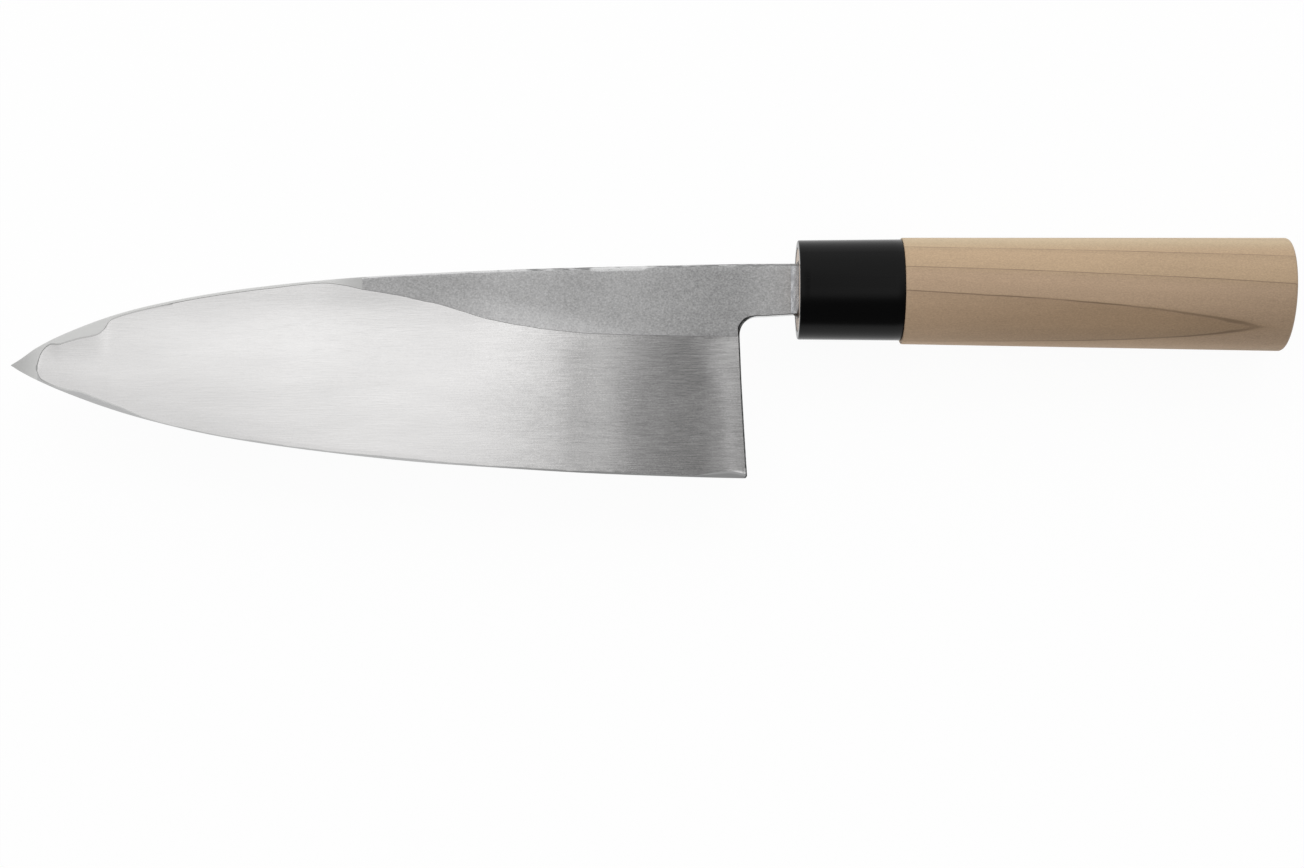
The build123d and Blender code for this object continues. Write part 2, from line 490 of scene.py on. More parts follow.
@dataclass(frozen=True)
class GrainySteel(WorkedSurface):
    """Dull steel that was blasted and never ground: fine grain, steps of tone along the blade, and
    a painted highlight strip.
    """

    name: str = "unground_back"
    color: Color = (0.492, 0.490, 0.490)
    roughness: float = 0.5
    patterns: tuple[Pattern, ...] = (
        Pattern((0.504, 0.42, 0.42), gain=0.65, tone=1.16, height_mm=0.016),
        Pattern((1.89, 1.47, 1.47), shift=5.0, tone=0.2, matt=0.12),
        Pattern((16.0, 7.0, 7.0), shift=9.0, tone=0.14),
    )
    # Lighter stretches towards the tip; painted shade, darker towards the heel; painted light near
    # the collar, against the collar's dark reflection; and a painted highlight strip above the
    # hollow's border.
    changes: tuple[ToneStep | TonePatch, ...] = (
        ToneStep(-72.0, -45.0, 0.04), ToneStep(-54.0, -42.0, 0.08, back=(-32.0, -22.0)),
        ToneStep(-12.0, 17.0, -0.18), ToneStep(22.0, 35.0, 0.13),
        PaintedHighlightStrip(-64.0, -40.0, 0.27, back=(-22.0, 6.0)),
    )


@dataclass(frozen=True)
class StonedSteel(WorkedSurface):
    """Flat rubbed dull on a stone, with short fine scratches under faint clouds."""

    name: str = "stoned_rim"
    color: Color = (0.52, 0.52, 0.513)
    roughness: float = 0.3
    patterns: tuple[Pattern, ...] = (
        Pattern((9.0, 3.0, 3.0), detail=3.0, shift=4.0, tone=0.16, matt=0.14),
        Pattern((2.4, 0.16, 0.16), detail=3.0, gain=0.6, tone=0.12, height_mm=0.0022),
    )


@dataclass(frozen=True)
class FiledSteel(WorkedSurface):
    """Narrow side of the blade, drawn over a file, with long marks that follow the side."""

    name: str = "filed_side"
    color: Color = (0.48, 0.48, 0.48)
    roughness: float = 0.26
    patterns: tuple[Pattern, ...] = (
        Pattern((6.0, 6.0, 2.0), shift=4.0, tone=0.18, matt=0.1),
        Pattern((5.0, 5.0, 0.14), detail=3.0, gain=0.6, tone=0.16, height_mm=0.003),
    )


@dataclass(frozen=True)
class HazySteel(WorkedSurface):
    """Soft iron, misty and faintly layered, with long marks."""

    name: str = "misty_iron"
    color: Color = (0.47, 0.47, 0.475)
    roughness: float = 0.42
    patterns: tuple[Pattern, ...] = (
        Pattern((7.0, 2.6, 2.6), detail=4.0, gain=0.6, shift=6.0, tone=0.44, matt=0.2),
        Pattern((38.0, 1.1, 1.1), detail=3.0, gain=0.55, shift=2.0, tone=0.22),
        Pattern((14.0, 0.3, 0.3), detail=3.0, gain=0.6, height_mm=0.003),
    )


@dataclass(frozen=True)
class SetResin(WorkedSurface):
    """Dark brown resin that set round the neck, lumpy and slightly uneven in tone."""

    name: str = "dark_resin"
    color: Color = (0.030, 0.017, 0.011)
    roughness: float = 0.38
    patterns: tuple[Pattern, ...] = (
        Pattern((0.9, 0.9, 0.9), detail=3.0, tone=0.5, matt=0.2, height_mm=0.05),
    )
    metallic: float = 0.0
    shine: float = 0.4


@dataclass(frozen=True)
class PatchySteel(Finish):
    """Corner eased by hand, with dark and bright patches, and painted highlights where steps along
    X add bright ones.
    """

    name: str = "patchy_corner"
    dark: Color = (0.28, 0.28, 0.28)
    bright: Color = (0.72, 0.72, 0.72)
    roughness: float = 0.34
    bright_gloss: float = 0.08
    patches: Pattern = Pattern((4.2, 0.5, 0.5), detail=3.0, gain=0.6)
    bright_patch: Pair = (0.42, 0.60)
    scratches: Pattern = Pattern((1.6, 0.12, 0.12), shift=4.0, tone=0.16)
    height_mm: float = 0.004
    # Steps along X that add bright patches: painted highlights.
    painted_highlights: tuple[ToneStep, ...] = ()

    def write(self, shader: Shader) -> None:
        """Patches of two tones under fine scratches, with more bright ones where the painted
        highlights lie.
        """
        patches, scratches = shader.noise(self.patches), shader.noise(self.scratches)
        place_x, place_y, _ = shader.axes(shader.position())
        for step in self.painted_highlights:
            patches = patches + step.at(place_x, place_y)
        bright_patch = patches.rise(*self.bright_patch)
        color = shader.mix(bright_patch, self.dark, self.bright)
        shader.surface({
            "Base Color": shader.toned(color, 1.0 + scratches.swing(self.scratches.tone)),
            "Metallic": 1.0,
            "Roughness": self.roughness - bright_patch * self.bright_gloss,
            "Normal": shader.bump(scratches + patches, self.height_mm),
        })


@dataclass(frozen=True)
class MouldedPlastic(Finish):
    """Satin black plastic with a barely visible parting line."""

    name: str = "collar_black"
    color: Color = (0.001, 0.001, 0.00105)
    roughness: float = 0.19
    shine: float = 0.155
    pull: Pattern = Pattern((24.0, 0.5, 0.5), matt=0.08)
    peel: Pattern = Pattern((0.7, 0.7, 0.7), shift=3.0, height_mm=0.00096)
    parting_y_mm: float = 0.0
    parting_width_mm: float = 0.12
    parting_matt: float = 0.12
    parting_height: float = 2.5

    def write(self, shader: Shader) -> None:
        """Faint pull marks, a fine orange-peel bump and the parting line."""
        _, place_y, _ = shader.axes(shader.position())
        seam = abs(place_y - self.parting_y_mm * MM).rise(self.parting_width_mm * MM, 0.0)
        pull = shader.noise(self.pull).swing(self.pull.matt)
        height = shader.noise(self.peel) + seam * self.parting_height
        shader.surface({
            "Base Color": self.color,
            "Roughness": self.roughness + pull + seam * self.parting_matt,
            "Specular IOR Level": self.shine,
            "Normal": shader.bump(height, self.peel.height_mm),
        })


@dataclass(frozen=True)
class GripTone:
    """Lighter or darker part of the grip.

    Attributes:
        change: The change of tone where all the steps are complete.
        along: Steps in the share of the way along the grip.
        across: Steps in the height across it, in radii from its middle.
    """

    change: float
    along: tuple[Pair, ...] = ()
    across: tuple[Pair, ...] = ()

    def at(self, along: Value, high: Value) -> Value:
        """The change of tone at a place."""
        steps = [along.rise(*step) for step in self.along]
        steps += [high.rise(*step) for step in self.across]
        return math.prod(steps[1:], start=steps[0]) * self.change


@dataclass(frozen=True)
class PaleWood(Finish):
    """Pale close-grained wood, cut so that flat growth layers cross the grip at a slant.

    A growth line shows where the distance along the layers' normal, measured in radii of the
    grip, passes one of the levels. The distance drifts along the grip, so that some lines run
    out in a point.
    """

    name: str = "pale_wood"
    middle: Vector = field(default_factory=Vector)
    length_mm: float = 110.0
    radius_mm: float = 15.5
    radius_growth_mm: float = 0.9
    middle_drop_mm: float = 0.9
    half_width_mm: float = 13.6
    sapwood: Color = (0.425, 0.304, 0.192)
    rosy: Color = (0.418, 0.296, 0.196)
    heartwood: Color = (0.375, 0.258, 0.160)
    outer: Color = (0.425, 0.338, 0.222)
    outer_step: Pair = (0.66, 0.9)
    outer_share: float = 0.7
    line: Color = (0.185, 0.125, 0.078)
    layer_tilt: float = -38.0
    levels: tuple[float, ...] = (0.799, 0.460, -0.005, -0.57, -0.90)
    heart_step: Pair = (0.769, 0.819)
    heart_along: tuple[float, ...] = (0.0, 0.6, 0.35, 1.0)
    rosy_step: Pair = (0.42, 0.58)
    drift: float = 0.165
    late_drift: float = 0.062
    crease: float = 0.018
    crease_width: float = 0.12
    sway: Pattern = Pattern((34.0, 7.0, 7.0))
    sway_reach: float = 0.018
    quiver: Pattern = Pattern((6.0, 3.0, 3.0), shift=2.0)
    quiver_reach: float = 0.008
    line_width: float = 0.0095
    line_core: float = 0.001425
    line_depth: float = 0.3
    fading: Pattern = Pattern((16.0, 16.0, 16.0), detail=1.0, shift=4.0)
    fading_step: tuple[float, ...] = (0.2, 0.7, 0.4, 0.9)
    shade_width: float = 0.16
    shade_share: float = 0.10
    mottle: Pattern = Pattern((26.0, 4.0, 4.0), detail=3.0, gain=0.55, shift=5.0, tone=0.14)
    fibre: Pattern = Pattern((5.0, 0.24, 0.24), 3.0, 0.6, shift=1.0, tone=0.12, matt=0.14)
    pores: Pattern = Pattern((0.62, 0.34, 0.34), 3.0, 0.7, shift=12.0, tone=0.68)
    pore_height: float = 0.6
    flecks: Pattern = Pattern((2.4, 0.42, 0.42), detail=1.0, shift=15.0, tone=-0.12)
    fleck_step: Pair = (0.71, 0.79)
    # Changes of tone: darker towards the butt below the top; painted highlights, lighter along the
    # bottom edge and the top edge; lighter near the collar low down; darker high up towards the
    # butt.
    tones: tuple[GripTone, ...] = (
        GripTone(-0.13, along=((0.55, 1.0),), across=((0.4, -0.2),)),
        GripTone(0.16, across=((-0.84, -0.97),)), GripTone(0.10, across=((0.80, 0.97),)),
        GripTone(0.08, along=((0.3, 0.0),), across=((0.05, -0.2),)),
        GripTone(-0.07, along=((0.35, 0.8),), across=((0.2, 0.4), (0.88, 0.7))),
    )
    end_grain: bool = False
    end_tone: float = 0.98
    end_pores: Pattern = Pattern((0.34, 0.34, 0.34), tone=-0.16)
    end_pore_step: Pair = (0.3, 0.1)
    roughness: float = 0.56
    shine: float = 0.32
    height_mm: float = 0.010

    def growth(self, shader: Shader, along: Value, high: Value, deep: Value) -> Value:
        """Distance along the growth layers' normal, in radii of the grip.

        Args:
            shader: The wood's shader.
            along: Share of the way along the grip.
            high: Height across the grip, in radii from its middle.
            deep: The same towards the back.

        Returns:
            The distance, creased over the middle and swaying a little.
        """
        tilt = math.radians(self.layer_tilt)
        reach = high * math.sin(tilt) + deep * math.cos(tilt)
        aside = abs(high * math.cos(tilt) - deep * math.sin(tilt))
        reach = reach - (1.0 - (aside / -self.crease_width).math("EXPONENT")) * self.crease
        sway = shader.noise(self.sway).swing(self.sway_reach)
        sway = sway + shader.noise(self.quiver).swing(self.quiver_reach)
        return reach - along * self.drift - along * along * self.late_drift + sway

    def lines_and_shade(self, shader: Shader, layer: Value) -> tuple[Value, Value]:
        """The dark growth lines, and the shade that fades away on one side of each."""
        lines: Value | float = 0.0
        shade: Value | float = 0.0
        for level in self.levels:
            offset = layer - level
            sharp = abs(offset).rise(self.line_width, self.line_core)
            lines = shader.math("MAXIMUM", sharp, lines)
            shaded = offset.rise(self.line_width * -0.5, 0.0) * offset.rise(self.shade_width, 0.0)
            shade = shader.math("MAXIMUM", shaded, shade)
        return lines, shade

    def write(self, shader: Shader) -> None:
        """Growth lines with a shaded side, layered tints, fibres and flecks."""
        place_x, place_y, place_z = shader.axes(shader.position())
        along = (place_x - self.middle.x) / (self.length_mm * MM)
        across = (place_y - self.middle.y) / MM + along * self.middle_drop_mm
        high = across / (self.radius_mm + along * self.radius_growth_mm)
        deep = (place_z - self.middle.z) / MM / self.half_width_mm
        layer = self.growth(shader, along, high, deep)
        lines, shade = self.lines_and_shade(shader, layer)
        body = shader.mix(layer.rise(*self.rosy_step), self.sapwood, self.rosy)
        heart = layer.rise(*self.heart_step) * along.rise(*self.heart_along)
        body = shader.mix(heart, body, self.heartwood)
        body = shader.mix(high.rise(*self.outer_step) * self.outer_share, body, self.outer)
        fibre, pores = shader.noise(self.fibre), shader.noise(self.pores)
        tone = 1.0 + fibre.swing(self.fibre.tone) + pores.swing(self.pores.tone)
        tone = tone + shader.noise(self.mottle).swing(self.mottle.tone)
        tone = tone + shader.noise(self.flecks).rise(*self.fleck_step) * self.flecks.tone
        tone = tone - shade * self.shade_share
        # The grip's tone changes; those along the top and bottom edges are painted highlights.
        for part in self.tones:
            tone = tone + part.at(along, high)
        if self.end_grain:
            ends = shader.cells(self.end_pores).rise(*self.end_pore_step)
            tone = tone * (self.end_tone + ends * self.end_pores.tone)
        strength = shader.noise(self.fading).rise(*self.fading_step)
        height = fibre + pores * self.pore_height - lines * self.line_depth
        shader.surface({
            "Base Color": shader.mix(lines * strength, shader.toned(body, tone), self.line),
            "Roughness": self.roughness + fibre.swing(self.fibre.matt),
            "Specular IOR Level": self.shine,
            "Normal": shader.bump(height, self.height_mm),
        })


# Mesh writing


class MeshDraft:
    """Vertices and faces that are gathered before they become one mesh."""

    def __init__(self) -> None:
        """Start empty."""
        self.points: list[Array] = []
        self.faces: list[tuple[int, ...]] = []
        self.zones: list[int] = []
        self.count = 0

    def add(self, points: Array) -> Array:
        """Add points.

        Args:
            points: Array whose last axis holds X, Y and Z in millimetres.

        Returns:
            Their numbers, in the same layout.
        """
        flat = points.reshape(-1, 3)
        self.points.append(flat)
        numbers = np.arange(self.count, self.count + len(flat)).reshape(points.shape[:-1])
        self.count += len(flat)
        return numbers

    def grid(self, numbers: Array, zones: Array | int, closed: bool = False) -> None:
        """Fill a grid of points with quads.

        Args:
            numbers: Point numbers in rows and columns.
            zones: Zone of every quad, or one for all.
            closed: Whether the last column joins the first.
        """
        if closed:
            numbers = np.concatenate([numbers, numbers[:, :1]], axis=1)
        shape = (numbers.shape[0] - 1, numbers.shape[1] - 1)
        zones = np.broadcast_to(zones, shape)
        for row in range(shape[0]):
            for column in range(shape[1]):
                corners = (
                    int(numbers[row, column]),
                    int(numbers[row + 1, column]),
                    int(numbers[row + 1, column + 1]),
                    int(numbers[row, column + 1]),
                )
                self.faces.append(corners)
                self.zones.append(int(zones[row, column]))

    def zip(self, first: Array, second: Array, zone: int) -> None:
        """Join two lines of points of any counts with triangles.

        Args:
            first: Point numbers of one line.
            second: Point numbers of the other, in the same direction.
            zone: Zone of the triangles.
        """
        places = np.concatenate(self.points)

        def shares(line: Array) -> Array:
            """Share of the line's length at each of its points."""
            steps = np.linalg.norm(np.diff(places[line], axis=0), axis=1)
            run = np.concatenate([[0.0], np.cumsum(steps)])
            return run / max(run[-1], 1e-9)

        first_share, second_share = shares(first), shares(second)
        left = right = 0
        while left < len(first) - 1 or right < len(second) - 1:
            on_left = right == len(second) - 1 or (
                left < len(first) - 1 and first_share[left + 1] <= second_share[right + 1]
            )
            if on_left:
                self.faces.append((int(first[left]), int(first[left + 1]), int(second[right])))
                left += 1
            else:
                self.faces.append((int(first[left]), int(second[right + 1]), int(second[right])))
                right += 1
            self.zones.append(zone)

    def cap(self, loop: Array, zone: int) -> None:
        """Close a loop of points with one face."""
        self.faces.append(tuple(int(number) for number in loop))
        self.zones.append(zone)

    def build(
        self,
        name: str,
        layout: "Layout",
        finishes: Sequence[Finish],
        sharp_angle: float = 20.0,
    ) -> bpy.types.Object:
        """Make the Blender object.

        Args:
            name: The piece's name.
            layout: Places the points in the frame.
            finishes: Finish of each zone, in order.
            sharp_angle: Edges that turn by more than this stay sharp, in degrees.

        Returns:
            The object.
        """
        mesh = bpy.data.meshes.new(name)
        places = layout.to_frame(np.concatenate(self.points))
        mesh.from_pydata(places.tolist(), [], self.faces)
        mesh.polygons.foreach_set("material_index", self.zones)
        for finish in finishes:
            mesh.materials.append(finish.material())
        work = bmesh.new()
        work.from_mesh(mesh)
        bmesh.ops.remove_doubles(work, verts=work.verts, dist=4e-7)
        bmesh.ops.dissolve_degenerate(work, edges=work.edges, dist=4e-7)
        bmesh.ops.recalc_face_normals(work, faces=work.faces)
        work.to_mesh(mesh)
        work.free()
        mesh.polygons.foreach_set("use_smooth", [True] * len(mesh.polygons))
        mesh.set_sharp_from_angle(angle=math.radians(sharp_angle))
        made = bpy.data.objects.new(name, mesh)
        bpy.context.scene.collection.objects.link(made)
        return made


@dataclass(frozen=True)
class Layout:
    """Where the knife's own axes meet, in the frame."""

    origin: Vector
    back_height: float = 4.0

    @classmethod
    def from_frame(cls) -> "Layout":
        """Read the place from the collar's box and the flat back.

        Returns:
            The layout.
        """
        low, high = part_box("ferrule")
        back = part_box("hard_steel_face")[1].z
        return cls(Vector((low.x, (low.y + high.y) / 2.0, back - cls.back_height * MM)))

    def to_frame(self, points: Array) -> Array:
        """Turn points in millimetres on the knife's axes into metres in the frame."""
        return points * MM + np.array(self.origin)


def rounded_corner(
    start: Array, corner: Array, end: Array, radius: float, count: int
) -> Array:
    """Arc that rounds a corner.

    Args:
        start: A point on the first line.
        corner: Where the lines meet.
        end: A point on the second line.
        radius: The arc's radius.
        count: Number of points on the arc.

    Returns:
        The arc's points, from the first line to the second.
    """
    toward_start = (start - corner) / np.linalg.norm(start - corner)
    toward_end = (end - corner) / np.linalg.norm(end - corner)
    half = math.acos(float(np.clip(toward_start @ toward_end, -1.0, 1.0))) / 2.0
    middle = toward_start + toward_end
    center = corner + middle / np.linalg.norm(middle) * radius / math.sin(half)
    first = corner + toward_start * radius / math.tan(half) - center
    last = corner + toward_end * radius / math.tan(half) - center
    turn = math.atan2(first[0] * last[1] - first[1] * last[0], float(first @ last))
    angles = np.linspace(0.0, turn, count)
    cosines, sines = np.cos(angles), np.sin(angles)
    return center + np.stack(
        [first[0] * cosines - first[1] * sines, first[0] * sines + first[1] * cosines], axis=1
    )


class ShareTable:
    """Table of shares along the blade, read on a smooth curve through its rows."""

    def __init__(self, rows: Sequence[Sequence[float]]) -> None:
        """Keep the rows' places and shares, with the curve's slope at each row."""
        table = np.array(rows)
        self.runs = table[:, 0]
        self.shares = table[:, 1:]
        last = len(table) - 1
        before = np.maximum(np.arange(last + 1) - 1, 0)
        after = np.minimum(np.arange(last + 1) + 1, last)
        self.slopes = (self.shares[after] - self.shares[before]) / (
            self.runs[after] - self.runs[before]
        )[:, None]

    def at(self, run: Array, column: int) -> Array:
        """Read one column.

        Args:
            run: Places along the blade, from the tip to the collar.
            column: Which share, from nought.

        Returns:
            The shares there.
        """
        run = np.clip(run, self.runs[0], self.runs[-1])
        left = np.clip(np.searchsorted(self.runs, run, side="right") - 1, 0, len(self.runs) - 2)
        span = self.runs[left + 1] - self.runs[left]
        step = (run - self.runs[left]) / span
        start, end = self.shares[left, column], self.shares[left + 1, column]
        start_pull = self.slopes[left, column] * span
        end_pull = self.slopes[left + 1, column] * span
        cubic = start_pull + end_pull - 2.0 * (end - start)
        square = (end - start) - start_pull - cubic
        return start + step * (start_pull + step * (square + step * cubic))


def wander(places: Array, length: float, seed: int) -> Array:
    """Smooth seeded curve between minus one and one.

    Args:
        places: Places in millimetres.
        length: Distance between its knots, in millimetres.
        seed: Seed of the draws.

    Returns:
        The curve at each place.
    """
    knots = np.random.default_rng(seed).uniform(-1.0, 1.0, 400)
    scaled = np.asarray(places) / length + 200.0
    left = np.floor(scaled).astype(int)
    step = scaled - left
    step = step * step * (3.0 - 2.0 * step)
    return knots[left] * (1.0 - step) + knots[left + 1] * step


def smooth_step(values: Array, start: float, end: float) -> Array:
    """Smooth step from nought at start to one at end."""
    share = np.clip((values - start) / (end - start), 0.0, 1.0)
    return share * share * (3.0 - 2.0 * share)


# Blade


class SteelZone(Enum):
    """Surfaces of the hard steel face, each with its own finish."""

    HOLLOW = 0
    UNGROUND = 1
    RIM = 2
    EDGE_RIM = 3
    BORDER = 4
    SPINE_EASE = 5
    HEEL_EASE = 6
    BEVEL = 7
    NECK_BAND = 8
    WALL = 9
    HEEL_STRIP = 10


class IronZone(Enum):
    """Surfaces of the soft iron body, each with its own finish."""

    BEVEL = 0
    CHEEK = 1
    SIDE = 2
    TANG = 3


@dataclass(frozen=True)
class BladeShape:
    """Sizes of the blade and the curves that follow from them, in millimetres."""

    edge_length: float = 210.0
    heel_setback: float = 15.0
    blade_depth: float = 61.42
    tip_drop: float = 29.12
    neck_rise: float = 7.32
    neck_depth: float = 14.42
    choil_flare: float = 0.9
    choil_radius: float = 5.5
    heel_rake: float = 2.0
    back_height: float = 4.0
    neck_thickness: float = 8.0
    steel_thickness: float = 2.2
    cheek_thinning: float = 1.0
    spine_ease: float = 0.7
    heel_ease: float = 0.42
    heel_round: float = 0.9
    choil_ease: float = 0.5
    neck_ease: float = 0.2
    heel_flare: float = 0.42
    heel_flare_share: float = 0.62
    neck_band: float = 2.2
    neck_band_step: float = 0.15
    neck_set_in: float = 4.0
    edge_wear: float = 0.02
    hollow_depth: float = 0.5
    hollow_step: float = 0.05
    low_step: float = 0.012
    rim_share: float = 0.009
    step_width: float = 0.1
    tip_step_width: float = 0.42
    heel_step_width: float = 0.6
    shear_reach: float = 14.0
    outline: ShareTable = field(default_factory=lambda: ShareTable([
        # run from tip to collar, spine's drop, edge's rise, spine's thickness, bevel's height
        (0.000, 0.997, 0.997, 0.07, 0.88),
        (0.012, 0.939, 0.945, 0.15, 0.86),
        (0.032, 0.829, 0.872, 0.25, 0.84),
        (0.063, 0.705, 0.776, 0.33, 0.80),
        (0.114, 0.549, 0.643, 0.42, 0.73),
        (0.164, 0.435, 0.535, 0.50, 0.68),
        (0.240, 0.314, 0.405, 0.58, 0.61),
        (0.317, 0.228, 0.310, 0.64, 0.575),
        (0.418, 0.149, 0.217, 0.71, 0.54),
        (0.520, 0.099, 0.143, 0.78, 0.515),
        (0.621, 0.063, 0.093, 0.84, 0.495),
        (0.723, 0.038, 0.050, 0.89, 0.485),
        (0.824, 0.019, 0.021, 0.935, 0.478),
        (0.933, 0.003, 0.000, 0.975, 0.470),
        (1.000, 0.000, 0.000, 1.00, 0.470),
    ]))
    borders: ShareTable = field(default_factory=lambda: ShareTable([
        # run, flat above the hollow, flat below it
        (0.0325, 0.580, 0.310),
        (0.0340, 0.440, 0.190),
        (0.0370, 0.240, 0.075),
        (0.042, 0.118, 0.042),
        (0.050, 0.075, 0.030),
        (0.060, 0.137, 0.030),
        (0.071, 0.142, 0.052),
        (0.087, 0.146, 0.082),
        (0.104, 0.160, 0.070),
        (0.112, 0.150, 0.064),
        (0.1185, 0.112, 0.060),
        (0.123, 0.058, 0.057),
        (0.129, 0.032, 0.052),
        (0.144, 0.024, 0.040),
        (0.170, 0.022, 0.012),
        (0.240, 0.019, 0.011),
        (0.290, 0.018, 0.010),
        (0.310, 0.017, 0.016),
        (0.330, 0.017, 0.010),
        (0.395, 0.016, 0.009),
        (0.425, 0.041, 0.010),
        (0.446, 0.068, 0.013),
        (0.496, 0.114, 0.014),
        (0.550, 0.174, 0.012),
        (0.606, 0.246, 0.009),
        (0.642, 0.278, 0.010),
        (0.695, 0.309, 0.008),
        (0.748, 0.323, 0.010),
        (0.856, 0.335, 0.008),
        (0.881, 0.337, 0.011),
        (0.896, 0.337, 0.017),
        (0.909, 0.338, 0.022),
        (0.920, 0.339, 0.020),
        (0.931, 0.340, 0.011),
        (0.951, 0.340, 0.010),
    ]))

    @property
    def tip_x(self) -> float:
        """Tip's place along X."""
        return -(self.edge_length + self.heel_setback)

    @property
    def heel_y(self) -> float:
        """Heel corner's place across the blade."""
        return self.neck_rise - self.blade_depth

    @property
    def choil_y(self) -> float:
        """Height of the corner that the choil rounds."""
        return self.neck_rise - self.neck_depth - self.choil_flare

    @property
    def hollow_start(self) -> float:
        """Where the hollow begins behind the tip."""
        return self.tip_x - self.tip_x * self.borders.runs[0]

    def run(self, x: Array) -> Array:
        """Share of the way from the tip to the collar."""
        return (x - self.tip_x) / -self.tip_x

    def spine(self, x: Array) -> Array:
        """Spine's height."""
        return self.neck_rise - self.tip_drop * self.outline.at(self.run(x), 0)

    def edge(self, x: Array) -> Array:
        """Edge's height."""
        rise = (self.blade_depth - self.tip_drop) * self.outline.at(self.run(x), 1)
        return self.heel_y + np.maximum(rise, self.edge_wear)

    def thickness_share(self, x: Array) -> Array:
        """Spine's thickness as a share of the neck's."""
        return self.outline.at(self.run(x), 2)

    def ridge(self, x: Array) -> Array:
        """Height of the ridge between bevel and cheek."""
        return self.edge(x) + self.outline.at(self.run(x), 3) * (self.spine(x) - self.edge(x))

    def border_width(self, x: Array) -> Array:
        """Width of the step down into the hollow, wider round the tip."""
        calm = smooth_step(self.run(x), 0.08, 0.24)
        heel = smooth_step(self.run(x), 0.872, 0.90) * (self.heel_step_width - self.step_width)
        return self.tip_step_width + (self.step_width - self.tip_step_width) * calm + heel

    def heel_x(self, y: Array) -> Array:
        """Heel's place along X at a height, with its corner rounded off."""
        share = (y - self.heel_y) / (self.choil_y - self.heel_y)
        inside = np.clip((y - self.heel_y) / self.heel_round, 0.0, 1.0)
        flare = self.heel_flare * np.clip(1.0 - share / self.heel_flare_share, 0.0, 1.0) ** 1.2
        corner = self.heel_round * 0.7 * (1.0 - inside) ** 2
        return -self.heel_setback - self.heel_rake * share + flare - corner

    def heel_ease_at(self, y: Array) -> Array:
        """Size of the heel's eased corner, which runs out at the thin edge."""
        return self.heel_ease * np.clip((y - self.heel_y) / 4.0, 0.03, 1.0)

    def sheared(self, x: Array, y: Array) -> Array:
        """Lean a column near the heel so that the last one lies on the heel's line."""
        end = -self.heel_setback - self.heel_rake
        lean = smooth_step(x, end - self.shear_reach, end)
        return x + (self.heel_x(y) - end) * lean

    def under_neck(self, x: float) -> float:
        """Height of the line under the neck."""
        return self.neck_rise - self.neck_depth + self.choil_flare / self.heel_setback * x

    def heel_path(self, start_y: float, arc_count: int = 20) -> tuple[Array, int]:
        """Line up the heel, round the choil and along under the neck.

        Args:
            start_y: Height on the heel where it starts.
            arc_count: Points on the choil's arc.

        Returns:
            Points in the plane of the back, and the number of the arc's last one.
        """
        start = np.array([float(self.heel_x(np.array(start_y))), start_y])
        corner = np.array([-self.heel_setback - self.heel_rake, self.choil_y])
        end = np.array([self.neck_set_in, self.under_neck(self.neck_set_in)])
        arc = rounded_corner(start, corner, end, self.choil_radius, arc_count)
        band = -self.neck_band
        stops = [-9.0, -6.5, -4.2, band, band + 0.06, band / 2.0, -0.4, self.neck_set_in]
        run_out = np.array([[x, self.under_neck(x)] for x in stops])
        lead_in = np.linspace(start, arc[0], 3)[:-1]
        return np.concatenate([lead_in, arc, run_out]), len(lead_in) + arc_count - 1


@dataclass(frozen=True)
class Stations:
    """Rows of a grid across the blade: how many lie between each pair of named lines."""

    counts: tuple[int, ...]

    def rows(self) -> tuple[Array, Array]:
        """Where each row lies.

        Returns:
            The line below each row, and the row's share of the way to the next line.
        """
        spans, shares = [], []
        for span, count in enumerate(self.counts):
            for step in range(count):
                spans.append(span)
                shares.append(step / count)
        spans.append(len(self.counts) - 1)
        shares.append(1.0)
        return np.array(spans), np.array(shares)

    def first_row(self, line: int) -> int:
        """Number of the row that lies on a line."""
        return sum(self.counts[:line])


def lay_rows(lines: Sequence[Array], spans: Array, shares: Array) -> Array:
    """Heights of a grid's points between named lines.

    Args:
        lines: Each line's height at every point of the grid.
        spans: The line below each row.
        shares: Each row's share of the way to the next line.

    Returns:
        The heights.
    """
    stacked = np.stack(lines)
    columns = np.arange(stacked.shape[1])[:, None]
    rows = np.arange(len(spans))[None, :]
    low = stacked[spans[None, :], columns, rows]
    high = stacked[spans[None, :] + 1, columns, rows]
    return low + (high - low) * shares[None, :]


